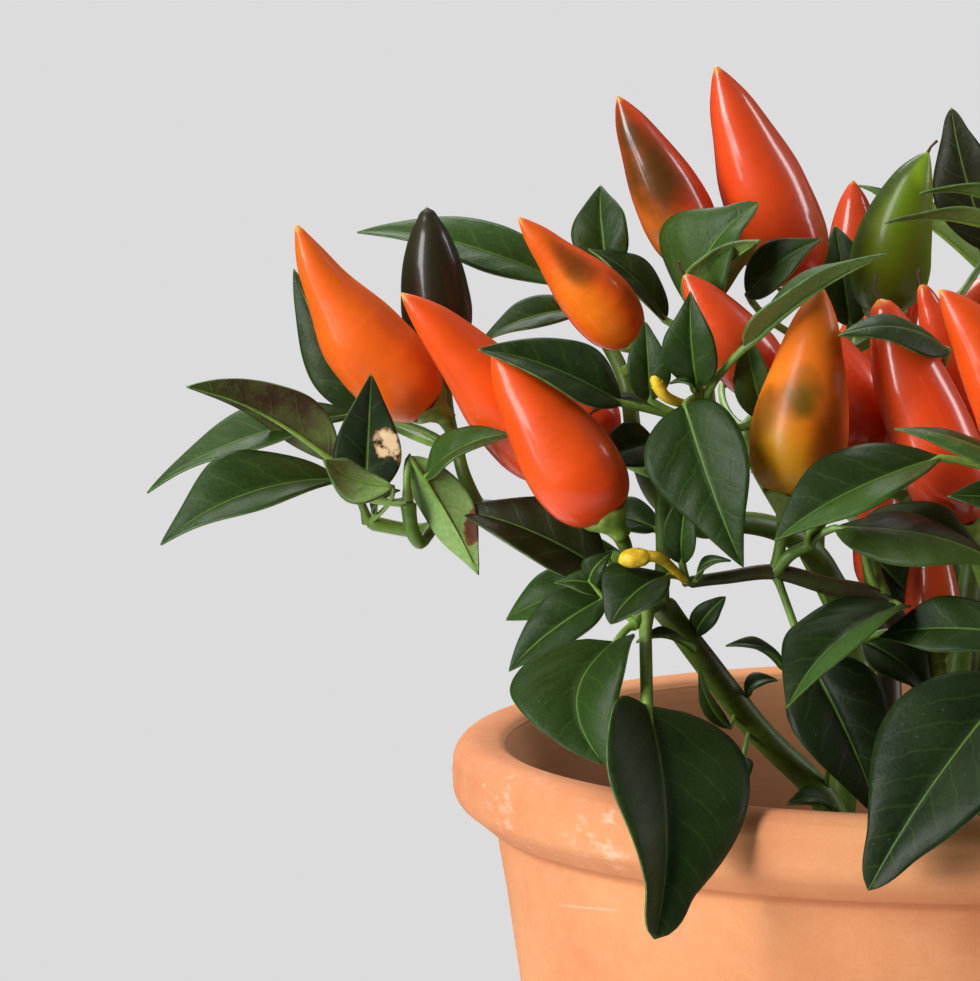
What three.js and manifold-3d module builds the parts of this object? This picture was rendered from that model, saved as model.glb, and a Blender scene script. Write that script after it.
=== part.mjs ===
// A potted ornamental chilli pepper plant: a terracotta pot with a rolled rim, potting soil, and young plants
// that share the pot, with their leaves and upright fruits. Millimetres, +Z up. The origin is the middle
// of the pot's foot, on the surface that the pot stands on, and the front of the plant faces -Y.
import * as THREE from "three";
import { mergeVertices } from "three/addons/utils/BufferGeometryUtils.js";
import Module from "manifold-3d";

const wasm = await Module();
wasm.setup();

// The pot
const POT_HEIGHT = 176;
const RIM_RADIUS = 99.5;
const GROOVE_RADIUS = 90.6;
const FOOT_RADIUS = 67;
const MOUTH_RADIUS = 88.4;
const WALL = 6.5;
const FLOOR = 9;
const DRAIN_RADIUS = 6;
const DRAIN_CIRCLE = 36;
const DRAINS = 3;
const ROLL_HEIGHT = 17.6;
const ROLL_SINK = 4;
const POT_SIDES = 32;

// The soil
const SOIL_TOP = 140;
const SOIL_MOUND = 2.5;
const SEAT_GAP = 0.4;

// The plants' trunks stand upright in the soil, and TRUNKS places them round the pot's axis.
const TRUNK_RADIUS = 3.6;
const TRUNK_FOOT = 112;
const TRUNK_TOP = 152;
const TRUNK_SIDES = 6;
const STEM_SIDES = 4;
const TRUNKS = { left: [-21, -19], back_left: [-22, 0], front_right: [0, -24], back_right: [7, 7] };

// The plants of the front left quarter are repeated round the pot. The turns are in degrees about the pot's
// axis. A repeat has no small leaves, and lacks the leaves, stems and fruits that `without` names.
const ALL_PLANTS = ["left", "back_left", "front_right", "back_right"];
const SPARED = ["inner_left_1", "inner_left_2", "crown_2", "hanging_mate", "left_low_1", "red_hidden",
  "right_2", "right_4", "right_7", "right_8", "right_12", "knot_leaf_2", "top_left_2",
  "top_right_3", "top_right_4", "top_right_5", "d_up", "green_top", "turning_mid", "orange_right"];
const REPEATS = [
  { where: "near", turn: 0, plants: ALL_PLANTS, without: [] },
  { where: "far", turn: 204, plants: ALL_PLANTS, without: SPARED },
  { where: "right", turn: 108, plants: ["left"], without: SPARED },
];

// Leaves and fruits
const BLADE = 0.64;
const PETIOLE_RADIUS = 0.85;
const PEDICEL_RADIUS = 1.15;
const CALYX_GAP = 0.35;
const FRUIT_SIDES = 7;
const CALYX_SIDES = 5;
const CALYX_HEIGHT = 2.2;
const CALYX_SHARE = 0.56;
const EDGE_WAVE = 0.035;

// Shares of a blade's length, and of its half width there, from its foot to its tip
const BLADE_STATIONS = [[0, 0.1], [0.24, 0.86], [0.58, 0.92], [1, 0]];
const LEAFLET_STATIONS = [[0, 0.14], [0.42, 1], [1, 0]];
// Shares of a fruit's length, and of its radius there
const FRUIT_STATIONS = [[0, 0.42], [0.08, 0.83], [0.3, 1], [0.58, 0.81], [0.86, 0.42]];

// Places are read off a front view: millimetres across from its left edge and down from its top edge, and the
// depth behind the pot's axis. The eye is EYE_DISTANCE from the view's middle and looks down by EYE_PITCH.
const VIEW_MIDDLE = [98, 98.1];
const AXIS_ACROSS = 190;
const MIDDLE_OVER_RIM = 49.5;
const EYE_DISTANCE = 1400;
const EYE_PITCH = THREE.MathUtils.degToRad(7.4);

const ahead = new THREE.Vector3(0, Math.cos(EYE_PITCH), -Math.sin(EYE_PITCH));
const upward = new THREE.Vector3(0, Math.sin(EYE_PITCH), Math.cos(EYE_PITCH));
const eye = new THREE.Vector3(VIEW_MIDDLE[0] - AXIS_ACROSS, 0, POT_HEIGHT + MIDDLE_OVER_RIM)
  .addScaledVector(ahead, -EYE_DISTANCE);

function seen([across, down, depth]) {
  const ray = ahead.clone().multiplyScalar(EYE_DISTANCE).addScaledVector(upward, VIEW_MIDDLE[1] - down);
  ray.x += across - VIEW_MIDDLE[0];
  return eye.clone().addScaledVector(ray, (depth - eye.y) / ray.y);
}

// Stems: name, plant, radius at the foot and at the end, and the points that they run through.
const STEMS = [];
const stem = (name, plant, radii, points) => STEMS.push({ name, plant, radii, points });
stem("a_main", "left", [3.1, 2.4], [[165, 160, -22], [152, 146.5, -34], [140, 131, -44], [132, 120.5, -50]]);
stem("a_left", "left", [2, 1.3],
  [[132, 120.5, -50], [122, 111, -46], [109, 104.5, -43], [95.5, 101.5, -42], [85, 106, -42],
    [73.5, 104.5, -42]]);
stem("a_fruit", "left", [1.5, 1.2], [[95.5, 101.5, -42], [92.8, 95, -41], [91.5, 90, -39]]);
stem("a_up", "left", [1.6, 1.1],
  [[132, 120.5, -50], [132.6, 111, -51], [132.6, 98, -53], [136, 87, -56], [141, 79.8, -60]]);
stem("a_front", "left", [1.4, 1.1], [[132, 120.5, -50], [129, 122.5, -56], [126.8, 125, -62]]);
stem("c_main", "back_left", [2.7, 1.4],
  [[170, 130, -1], [165, 114, -8], [158, 107, -14], [149, 104.5, -22], [140, 105.5, -28], [131, 99, -31],
    [127, 88, -32], [125, 76, -30], [119, 64, -20]]);
stem("c_up", "back_left", [1.8, 1.2], [[140, 105.5, -28], [142, 90, -22], [141.5, 77, -20], [140, 68, -20]]);
stem("b_main", "front_right", [2.6, 1.6],
  [[186, 142, -38], [181, 128, -51], [176, 120, -56], [165, 117, -60], [155, 114.4, -62], [145, 115.5, -64],
    [137.5, 116.5, -66]]);
stem("b_twig", "front_right", [1.4, 1.1], [[155, 114.4, -62], [158, 111, -64], [162, 109, -65]]);
stem("e_up", "front_right", [2.1, 1.3],
  [[176, 120, -56], [174.5, 112, -50], [180, 104, -40], [184, 94, -33], [187, 84, -30], [188, 75, -29]]);
stem("f_main", "front_right", [2.4, 1.5],
  [[196, 142, -32], [199, 128, -44], [202, 118, -56], [206, 109, -64], [209, 101, -66]]);
stem("d_main", "back_right", [2.7, 1.4],
  [[192, 122, 12], [187, 104, 8], [180, 88, 2], [173, 77, -4], [167, 70, -8]]);
stem("d_up", "back_right", [1.7, 1.2], [[187, 104, 8], [196, 86, 2], [203, 68, -8], [205, 56, -18]]);

// Leaves: name, plant, the blade's foot and tip, its width, the way its upper side faces, and what differs
// from a plain one: how far each half folds up from flat, how far the midrib arches, near which point of a
// stem the stalk starts, and the share of its length that the stalk bends back.
const LEAVES = [];
const PLAIN = { fold: 14, arch: 2, on: null, sway: 0.18, small: false };
const leaf = (name, plant, foot, tip, width, face, more = {}) =>
  LEAVES.push({ name, plant, foot, tip, width, face, ...PLAIN, ...more });
leaf("far_left_1", "left", [67.4, 92.6, -43], [37.4, 76.6, -50], 14, [-1, 3, 3], { arch: 3 });
leaf("far_left_2", "left", [71, 83, -32], [29, 97.4, -34], 14, [-1, -2, 4], { arch: 3, on: [92, 91, -40] });
leaf("far_left_3", "left", [67.6, 96, -47], [32, 108, -58], 18, [-1, -3, 4], { fold: 22, arch: 4 });
leaf("far_left_4", "left", [73, 99.5, -50], [74.2, 75, -58], 13, [0, -4, 1], { arch: -2 });
leaf("far_left_5", "left", [75.5, 100, -52], [64.5, 92.2, -55], 8, [-1, 3, 1], { small: true });
leaf("hanging", "left", [82, 91.4, -51], [96, 115, -58], 13, [4, 8, -3], { fold: 24, on: [84, 106, -42] });
leaf("hanging_mate", "left", [84.5, 97, -52], [96.6, 89.4, -61], 10, [-1, -2, 3], { on: [87, 105.5, -42] });
leaf("under_fruit", "left", [121, 114.5, -51], [91, 101.5, -51], 16, [1, -4, 3], { fold: 20, arch: 3 });
leaf("left_low_1", "left", [121.5, 117, -41], [101, 123.8, -37], 12, [-1, -3, 2]);
leaf("left_low_2", "left", [121, 119.5, -47], [101.6, 134, -50], 12, [-1, -3, 2], { fold: 16 });
leaf("left_low_3", "left", [121.5, 118, -56], [111, 116.5, -58], 5.5, [0, -3, 2], { small: true });
leaf("left_low_4", "left", [118, 116, -60], [122.4, 110.4, -62], 5, [-1, -3, 1], { small: true });
leaf("over_rim_1", "left", [123.6, 128, -66], [120.6, 152.4, -86], 24, [-2, -6, 3], { fold: 10, arch: 3 });
leaf("over_rim_2", "left", [129.4, 142, -82], [131.8, 187.4, -104], 31, [3, -6, 2],
  { fold: 18, arch: 4, on: [129, 122.5, -56], sway: 0.05 });
leaf("stem_leaf_1", "left", [139.8, 126.4, -46], [145, 119.4, -50], 5.5, [0, -3, 2], { small: true });
leaf("stem_leaf_2", "left", [139, 130.4, -51], [127.4, 128, -60], 6, [0, -1, 4], { small: true });
leaf("stem_leaf_3", "left", [146, 145.6, -41], [139.6, 133.8, -47], 4, [-2, -3, 1], { small: true });
leaf("stem_leaf_4", "left", [149.4, 139.4, -37], [155.4, 136, -39], 5, [0, -2, 3], { small: true });
leaf("stem_leaf_5", "left", [148.6, 151.6, -40], [147.6, 158.6, -44], 4.5, [0, -3, 1], { small: true });
leaf("stem_leaf_6", "left", [157, 134, -50], [145.4, 128.8, -54], 6, [0, -1, 3],
  { small: true, on: [165, 160, -22] });
leaf("stem_leaf_7", "left", [167, 162.4, -27], [157.4, 160.6, -35], 7, [0, -2, 3], { small: true });
leaf("young_1", "left", [74.8, 102.6, -45], [79.8, 98, -49], 4.5, [-1, -2, 2], { small: true });
leaf("behind_orange", "left", [76, 84, -25], [58.2, 54, -19], 13, [-3, -4, 1], { on: [91.5, 90, -39] });
leaf("crown_1", "left", [139.4, 77, -62], [138, 58.4, -66], 11, [-1, -4, 1]);
leaf("crown_2", "left", [130, 80, -61], [129, 64.4, -61], 6.5, [0, -4, 1]);
leaf("crown_3", "left", [149, 69.5, -67], [177, 50.4, -75], 14, [-1, 0, 4], { fold: 28, arch: 6 });
leaf("crown_4", "left", [124, 80.6, -63], [96, 69.4, -71], 14, [0, -3, 3], { fold: 18 });
leaf("crown_5", "left", [131, 82, -59], [118, 82.4, -59], 5, [0, -1, 3], { small: true });
leaf("crown_6", "left", [137, 81, -65], [148.4, 113.4, -77], 19, [-2, -5, 2]);
leaf("crown_7", "left", [139, 78.6, -62], [134, 76.6, -64], 3, [0, -2, 3], { small: true });
leaf("inner_left_1", "left", [131, 88.6, -55], [119, 93, -58], 10, [0, -3, 2]);
leaf("inner_left_2", "left", [131.4, 106, -47], [119.4, 104, -40], 9, [0, -3, 3]);
leaf("top_left_1", "back_left", [113, 57, -9], [71.6, 45.4, -2], 14, [0, -2, 3], { arch: 3 });
leaf("top_left_2", "back_left", [117, 62, -28], [96, 68, -33], 9, [0, -2, 3]);
leaf("top_left_3", "back_left", [121.6, 54.5, -14], [120, 37, -8], 12, [-1, -4, 1]);
leaf("top_left_4", "back_left", [133, 64, -17], [118, 49.5, -17], 10, [1, -2, 3]);
leaf("top_mid_1", "back_left", [138.5, 62, -36], [149, 40, -44], 18, [-3, -4, 3],
  { arch: 4, on: [140.5, 70, -20] });
leaf("top_mid_2", "back_left", [138.5, 62.5, -44], [152, 47.6, -52], 12, [-1, 3, 3],
  { on: [140.5, 70, -20] });
leaf("knot_leaf_1", "front_right", [134, 115, -69], [122.4, 124.4, -78], 15, [-2, -4, 4], { fold: 18 });
leaf("knot_leaf_2", "front_right", [136.4, 112.5, -68], [138, 97.4, -69], 7.5, [-1, -3, 1], { fold: 26 });
leaf("knot_leaf_3", "front_right", [139.5, 116, -68], [146, 112, -72], 3.6, [0, -2, 3], { small: true });
leaf("right_1", "front_right", [188, 91.6, -71], [154.8, 107.2, -83], 19, [-1, -3, 4], { fold: 18, arch: 2 });
leaf("right_2", "front_right", [161.8, 106.4, -68.5], [171.6, 101, -64], 8, [0, 3, 2]);
leaf("right_3", "front_right", [167, 105.6, -68], [202, 113, -78], 15, [0, -2, 3],
  { fold: -16, arch: 3, on: [162, 109, -65] });
leaf("right_4", "front_right", [173, 104, -61], [198, 111.5, -67], 12, [0, -2, 3], { on: [176, 120, -56] });
leaf("right_5", "front_right", [180, 121.4, -61], [157, 140.6, -86], 23, [-3, -3, 4], { fold: 16, arch: 3 });
leaf("right_6", "front_right", [161, 131, -64], [176, 163.5, -71], 20, [1, -5, 2],
  { arch: 3, on: [155, 114.4, -62] });
leaf("right_7", "front_right", [203, 136, -92], [173.4, 177.4, -111], 26, [-2, -5, 2],
  { arch: 3, on: [202, 118, -56] });
leaf("right_8", "front_right", [203, 127, -76], [175.6, 127, -72], 14, [0, -3, 3], { on: [199, 128, -44] });
leaf("right_9", "front_right", [172.6, 128.4, -50], [187, 139.5, -55], 12, [1, -3, 3]);
leaf("right_10", "front_right", [189.5, 70, -53], [168, 66.4, -70], 12, [0, -2, 3],
  { fold: -12, arch: 3, on: [184, 94, -33], sway: 0 });
leaf("right_11", "front_right", [207, 96, -83], [179.2, 85, -83], 10, [0, -1, 3], { fold: -10 });
leaf("right_12", "front_right", [208, 102.6, -76], [189.8, 99, -84], 10, [-1, -3, 2]);
leaf("top_right_1", "back_right", [149.6, 59, -36], [164, 47.6, -41], 10, [1, -3, 3]);
leaf("top_right_2", "back_right", [170, 65, 2], [167, 45, 8], 12, [0, -4, 1]);
leaf("top_right_3", "back_right", [198, 50, 22], [190, 21.6, 27], 14, [-2, -4, 1], { on: [173, 77, -4] });
leaf("top_right_4", "back_right", [206, 48, -26], [177, 43.6, -34], 9, [0, 1, 4]);
leaf("top_right_5", "back_right", [205, 43, -18], [184, 38, -22], 8, [0, 1, 4]);

// Fruits: name, plant, foot and tip, radius, how far the axis bows (across, down, depth), and the ripeness.
const FRUITS = [];
const fruit = (name, plant, foot, tip, radius, bow, ripeness, on = null) =>
  FRUITS.push({ name, plant, foot, tip, radius, bow, ripeness, on });
fruit("orange_left", "left", [85.8, 80.8, -38.5], [59.4, 45.2, -46], 8.8, [-2.2, 1.7, 0], "orange");
fruit("dark_small", "left", [88, 70, -25], [85.4, 41.6, -24], 7, [0, 0, 0], "black", [91.5, 90, -39]);
fruit("orange_crossing", "left", [110, 94.5, -48], [80.4, 58.8, -57], 8, [1.5, -1, 0], "red_orange",
  [103, 103, -42]);
fruit("orange_front", "left", [121.4, 103, -67], [98.6, 70.4, -68], 9.1, [0, 0, 0], "red_orange");
fruit("red_hidden", "left", [121.6, 88.5, -42], [103, 69, -38], 6.6, [0, 0, 0], "red");
fruit("red_crown", "left", [154, 78, -48], [136.8, 54.8, -53], 6.7, [0, 0, 0], "red", [132.6, 100, -53]);
fruit("turning_left", "back_left", [126.4, 67.6, -38], [103.8, 43.6, -45], 6.6, [0, 0, 0], "turning_orange");
fruit("turning_top", "back_left", [140, 52.4, -25], [123.6, 19.4, -30], 7.2, [0, 0, 0], "turning_brown");
fruit("turning_mid", "front_right", [157.8, 99, -64], [164.2, 57.3, -62], 9.3, [0, 0, 0], "turning_green");
fruit("red_behind", "front_right", [172, 91, -41], [162, 64, -40], 8, [2, 0, 0], "red");
fruit("red_tall", "front_right", [193, 105, -53], [175.8, 59.8, -51.5], 8.5, [0, 0, 0], "red",
  [199, 128, -44]);
fruit("red_second", "front_right", [200, 96, -35], [184.2, 56.8, -37], 7, [0, 0, 0], "red",
  [199, 128, -44]);
fruit("orange_right", "front_right", [208, 94, -67], [188, 58, -70], 8.5, [2, -1.2, 0], "red_orange");
fruit("red_low", "front_right", [187, 130, -43], [185.5, 101, -43], 5.4, [0, 0, 0], "red", [192, 142, -33]);
fruit("red_big", "back_right", [160, 56.2, -18], [143.2, 13.4, -26], 9.1, [0, 0, 0], "red");
fruit("red_far", "back_right", [171, 58, 22], [170.6, 36.2, 22], 6, [0, 0, 0], "red");
fruit("green_top", "back_right", [177, 62, -7], [185.6, 30.4, -12], 8.2, [-2, -0.5, 0], "green");

// Withered flowers: the plant, where the stalk starts and bends, and the middle of the knob.
const FLOWERS = [
  { plant: "front_right", foot: [137, 116, -69], bend: [131.8, 111.6, -73], knob: [127, 111.6, -74] },
  { plant: "left", foot: [137.4, 82.2, -62], bend: [133.6, 79.6, -66], knob: [131.4, 76.8, -67] },
];

// The ripeness of a fruit gives its colour.
const RIPENESS = {
  green: 0x3f6b1c, black: 0x2b2414, turning_brown: 0x7a3a17, turning_orange: 0xc4661c,
  turning_green: 0xb88a1e, orange: 0xe0641c, red_orange: 0xd9391a, red: 0xb81512,
};

// Closed meshes and solids
function weld(geometry) {
  geometry.deleteAttribute("normal");
  geometry.deleteAttribute("uv");
  const welded = mergeVertices(geometry, 1e-4);
  const corners = welded.index.array;
  const kept = [];
  for (let i = 0; i < corners.length; i += 3) {
    const [a, b, c] = [corners[i], corners[i + 1], corners[i + 2]];
    if (a !== b && b !== c && a !== c) kept.push(a, b, c);
  }
  welded.setIndex(kept);
  return welded;
}

function solid(geometry) {
  const vertProperties = new Float32Array(geometry.attributes.position.array);
  const triVerts = new Uint32Array(geometry.index.array);
  return new wasm.Manifold(new wasm.Mesh({ numProp: 3, vertProperties, triVerts }));
}

// The largest shell alone, so that no sealed hollow stays where leaves meet
function outside(body) {
  return body.decompose().reduce((largest, shell) => (shell.volume() > largest.volume() ? shell : largest));
}

function fromSolid(body) {
  const { vertProperties, triVerts, numProp } = body.getMesh();
  const geometry = new THREE.BufferGeometry();
  geometry.setAttribute("position", new THREE.BufferAttribute(vertProperties, numProp));
  geometry.setIndex(Array.from(triVerts));
  return geometry;
}

function moveVertices(geometry, place) {
  const position = geometry.attributes.position;
  const vertex = new THREE.Vector3();
  for (let i = 0; i < position.count; i += 1) {
    vertex.fromBufferAttribute(position, i);
    const moved = place(vertex.x, vertex.y, vertex.z);
    position.setXYZ(i, moved.x, moved.y, moved.z);
  }
  return geometry;
}

// A tapered tube along a smooth curve through the points
function tube(points, radii, sides, steps) {
  const curve = new THREE.CatmullRomCurve3(points, false, "catmullrom", 0.5);
  const frames = curve.computeFrenetFrames(steps);
  const centres = curve.getSpacedPoints(steps);
  const straight = weld(new THREE.CylinderGeometry(radii[0], radii[1], 1, sides, steps));
  return moveVertices(straight, (x, y, z) => {
    const step = Math.round((0.5 - y) * steps);
    return centres[step].clone().addScaledVector(frames.normals[step], x)
      .addScaledVector(frames.binormals[step], z);
  });
}

// A body of revolution along a curve: the profile holds a radius and a share of the curve at each ring.
function turnedAlong(curve, profile, sides, swell) {
  const outline = profile.map(([radius, y]) => new THREE.Vector2(radius, y));
  const upright = weld(new THREE.LatheGeometry(outline, sides));
  const chord = curve.getPoint(1).sub(curve.getPoint(0));
  const reference = new THREE.Vector3(Math.abs(chord.z) > Math.abs(chord.y) ? 0 : 1, 1, 0);
  return moveVertices(upright, (x, y, z) => {
    const forward = curve.getTangent(y);
    const across = reference.clone().cross(forward).normalize();
    const over = forward.clone().cross(across);
    const scale = swell(Math.atan2(x, z), y);
    return curve.getPoint(y).addScaledVector(over, x * scale).addScaledVector(across, z * scale);
  });
}

// Leaves: a flat sheet of two columns, its last row drawn together at the tip, is given two faces that are
// split into triangles alike. It is made once for each kind of blade, and then bent to each leaf's place.
function bladeSheet(rows) {
  const plane = new THREE.PlaneGeometry(2, rows, 2, rows);
  moveVertices(plane, (x, y) => new THREE.Vector3(y < 0.5 - rows / 2 ? 0 : x, rows / 2 - y, 0));
  const sheet = weld(plane);
  const flat = sheet.attributes.position;
  const count = flat.count;
  const positions = [];
  for (const face of [1, -1]) {
    for (let i = 0; i < count; i += 1) positions.push(flat.getX(i), flat.getY(i), face);
  }
  const corners = sheet.index.array;
  const edges = new Map();
  const faces = [];
  for (let i = 0; i < corners.length; i += 3) {
    const [a, b, c] = [corners[i], corners[i + 1], corners[i + 2]];
    faces.push(a, b, c, count + a, count + c, count + b);
    for (const [from, to] of [[a, b], [b, c], [c, a]]) edges.set(`${from} ${to}`, [from, to]);
  }
  for (const [from, to] of edges.values()) {
    if (!edges.has(`${to} ${from}`)) {
      faces.push(to, from, count + from, to, count + from, count + to);
    }
  }
  const closed = new THREE.BufferGeometry();
  closed.setAttribute("position", new THREE.Float32BufferAttribute(positions, 3));
  closed.setIndex(faces);
  return closed;
}
const BLADE_SHEET = bladeSheet(BLADE_STATIONS.length + 1);
const LEAFLET_SHEET = bladeSheet(LEAFLET_STATIONS.length);

// A leaf is one sheet: its first rows are its stalk, from the stem to the blade's foot.
function leafBody(one) {
  const { plant, foot, tip, width, face, fold, arch, on, sway, small } = one;
  const stations = small ? LEAFLET_STATIONS : BLADE_STATIONS;
  const from = seen(foot);
  const reach = seen(tip).sub(from);
  const length = reach.length();
  const along = reach.clone().normalize();
  const side = new THREE.Vector3(...face).cross(along).normalize();
  const up = along.clone().cross(side);
  const lean = THREE.MathUtils.degToRad(fold);
  const stalk = stalkCurve(nearestOnStems(plant, on ? seen(on) : from), from, along, sway);
  const stalkRows = small ? 1 : 2;
  return weld(moveVertices((small ? LEAFLET_SHEET : BLADE_SHEET).clone(), (x, row, z) => {
    const step = Math.round(row);
    if (step < stalkRows) {
      const forward = stalk.getTangent(step / stalkRows);
      const over = forward.clone().cross(side).normalize();
      const level = over.clone().cross(forward);
      const radius = PETIOLE_RADIUS * (small ? 0.7 : 1);
      return stalk.getPoint(step / stalkRows).addScaledVector(level, x * radius)
        .addScaledVector(over, x === 0 ? z * radius : 0);
    }
    const [share, spread] = stations[step - stalkRows];
    const half = spread * width / 2;
    const rise = 4 * arch * share * (1 - share);
    const forward = along.clone().multiplyScalar(length).addScaledVector(up, 4 * arch * (1 - 2 * share));
    const over = forward.cross(side).normalize();
    const wave = small ? 0 : EDGE_WAVE * width * Math.sin(2.2 * step + 1.6 * x);
    const lift = Math.abs(x) * (half * Math.sin(lean) + wave * spread) + z * BLADE / 2 / Math.cos(lean);
    return from.clone().addScaledVector(along, length * share).addScaledVector(up, rise)
      .addScaledVector(side, x * half * Math.cos(lean)).addScaledVector(over, lift);
  }));
}

function stalkCurve(start, end, along, sway) {
  const gap = start.distanceTo(end);
  const middle = start.clone().lerp(end, 0.5).addScaledVector(along, -sway * gap);
  middle.z += 0.06 * gap;
  return new THREE.QuadraticBezierCurve3(start, middle, end);
}

// Stems
const stemPoints = (plant) => STEMS.filter((one) => one.plant === plant).map((one) => one.points.map(seen));

function nearestOnStems(plant, point) {
  let best = null;
  for (const points of stemPoints(plant)) {
    const curve = new THREE.CatmullRomCurve3(points, false, "catmullrom", 0.5);
    for (const candidate of curve.getPoints(6 * points.length)) {
      if (best === null || candidate.distanceTo(point) < best.distanceTo(point)) best = candidate;
    }
  }
  return best;
}

function trunk(plant) {
  const [x, y] = TRUNKS[plant];
  const height = TRUNK_TOP - TRUNK_FOOT;
  const post = new THREE.CylinderGeometry(TRUNK_RADIUS * 0.9, TRUNK_RADIUS, height, TRUNK_SIDES);
  post.rotateX(Math.PI / 2);
  post.translate(x, y, TRUNK_FOOT + height / 2);
  return weld(post);
}

function stemBody({ plant, radii, points, name }) {
  const route = points.map(seen);
  if (name.endsWith("_main")) {
    const [x, y] = TRUNKS[plant];
    route.unshift(new THREE.Vector3(x, y, TRUNK_TOP - 10), new THREE.Vector3(x, y, TRUNK_TOP - 1));
  }
  return tube(route, radii, STEM_SIDES, Math.round(1.3 * route.length));
}

// Fruits, with the calyx and the stalk that carry them
function fruitCurve({ foot, tip, bow }) {
  const from = seen(foot);
  const to = seen(tip);
  const [across, down, depth] = bow;
  const middle = from.clone().lerp(to, 0.5).add(new THREE.Vector3(across, depth, -down).multiplyScalar(2));
  return new THREE.QuadraticBezierCurve3(from, middle, to);
}

function fruitBody(one) {
  const profile = [[0, 0], ...FRUIT_STATIONS.map(([share, spread]) => [spread * one.radius, share]), [0, 1]];
  const phase = one.radius * 2.4;
  return turnedAlong(fruitCurve(one), profile, FRUIT_SIDES,
    (angle, share) => 1 + 0.05 * Math.cos(3 * angle + phase) * (1 - share));
}

// The stalk runs from the stem to the fruit's foot and widens there into the toothed calyx.
function fruitStalk(one) {
  const forward = fruitCurve(one).getTangent(0);
  const top = seen(one.foot).addScaledVector(forward, -CALYX_GAP);
  const start = nearestOnStems(one.plant, one.on ? seen(one.on) : top);
  const length = start.distanceTo(top);
  const bend = top.clone().addScaledVector(forward, -0.5 * length);
  const curve = new THREE.QuadraticBezierCurve3(start, bend, top);
  const rim = CALYX_SHARE * one.radius;
  const neck = 1 - CALYX_HEIGHT / length;
  const profile = [[0, 0], [PEDICEL_RADIUS, 0], [PEDICEL_RADIUS, neck / 2], [PEDICEL_RADIUS * 1.3, neck],
    [rim, 1 - 0.5 / length], [0, 1]];
  return turnedAlong(curve, profile, CALYX_SIDES, () => 1);
}

function witheredFlower({ plant, foot, bend, knob }) {
  const places = [nearestOnStems(plant, seen(foot)), seen(bend), seen(knob)];
  const ball = new THREE.IcosahedronGeometry(1.7, 0).translate(places[2].x, places[2].y, places[2].z);
  return [tube(places, [0.9, 0.7], 4, 4), weld(ball)];
}

function plantBody(plant, without, whole) {
  const mine = (one) => one.plant === plant && !without.includes(one.name) && (whole || !one.small);
  const pieces = [trunk(plant)];
  for (const one of STEMS.filter(mine)) pieces.push(stemBody(one));
  for (const one of LEAVES.filter(mine)) pieces.push(leafBody(one));
  for (const one of FRUITS.filter(mine)) pieces.push(fruitStalk(one));
  for (const one of FLOWERS.filter((flower) => whole && flower.plant === plant)) {
    pieces.push(...witheredFlower(one));
  }
  return fromSolid(outside(pieces.map(solid).reduce((body, piece) => body.add(piece))));
}

// The pot and its soil
const GROOVE_HEIGHT = POT_HEIGHT - ROLL_HEIGHT;
const wallRadius = (z) => THREE.MathUtils.mapLinear(z, 0, GROOVE_HEIGHT, FOOT_RADIUS, GROOVE_RADIUS);

function potBody() {
  const roll = ROLL_HEIGHT * 0.3;
  const [rollAcross, rollUp] = [RIM_RADIUS - roll, POT_HEIGHT - roll];
  const outline = [[0, 0], [FOOT_RADIUS - 2, 0], [FOOT_RADIUS, 2]];
  outline.push([wallRadius(POT_HEIGHT / 2), POT_HEIGHT / 2], [GROOVE_RADIUS, GROOVE_HEIGHT]);
  outline.push([GROOVE_RADIUS + 1.6, GROOVE_HEIGHT + 1.6]);
  for (let turn = -20; turn <= 90; turn += 22) {
    const angle = THREE.MathUtils.degToRad(turn);
    const sink = turn < 0 ? ROLL_SINK : 0;
    outline.push([rollAcross + roll * Math.cos(angle), rollUp + roll * Math.sin(angle) - sink]);
  }
  outline.push([MOUTH_RADIUS + 2, POT_HEIGHT - 0.6], [MOUTH_RADIUS, POT_HEIGHT - 3]);
  outline.push([wallRadius(GROOVE_HEIGHT - 6) - WALL, GROOVE_HEIGHT - 6]);
  outline.push([wallRadius(FLOOR) - WALL, FLOOR], [0, FLOOR]);
  const bowl = new THREE.LatheGeometry(outline.map(([radius, z]) => new THREE.Vector2(radius, z)), POT_SIDES);
  let body = solid(weld(bowl.rotateX(Math.PI / 2)));
  for (let i = 0; i < DRAINS; i += 1) {
    const drain = new THREE.CylinderGeometry(DRAIN_RADIUS, DRAIN_RADIUS, 3 * FLOOR, 12).rotateX(Math.PI / 2);
    drain.translate(DRAIN_CIRCLE, 0, FLOOR / 2).rotateZ(2 * Math.PI * (i + 0.5) / DRAINS);
    body = body.subtract(solid(weld(drain)));
  }
  return fromSolid(body);
}

function soilBody(trunks) {
  const low = FLOOR + SEAT_GAP;
  const inside = (z) => wallRadius(z) - WALL - SEAT_GAP;
  const outline = [[0, low], [inside(low), low], [inside(SOIL_TOP), SOIL_TOP],
    [inside(SOIL_TOP) * 0.7, SOIL_TOP + SOIL_MOUND * 0.6], [0, SOIL_TOP + SOIL_MOUND]];
  const heap = new THREE.LatheGeometry(outline.map(([radius, z]) => new THREE.Vector2(radius, z)), POT_SIDES);
  let body = solid(weld(heap.rotateX(Math.PI / 2)));
  for (const [x, y] of trunks) {
    const depth = SOIL_TOP + 10 - TRUNK_FOOT + SEAT_GAP;
    const hole = new THREE.CylinderGeometry(TRUNK_RADIUS + 0.8, TRUNK_RADIUS + 0.8, depth, TRUNK_SIDES);
    hole.rotateX(Math.PI / 2);
    hole.translate(x, y, TRUNK_FOOT - SEAT_GAP + depth / 2);
    body = body.subtract(solid(weld(hole)));
  }
  return fromSolid(body);
}

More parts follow.
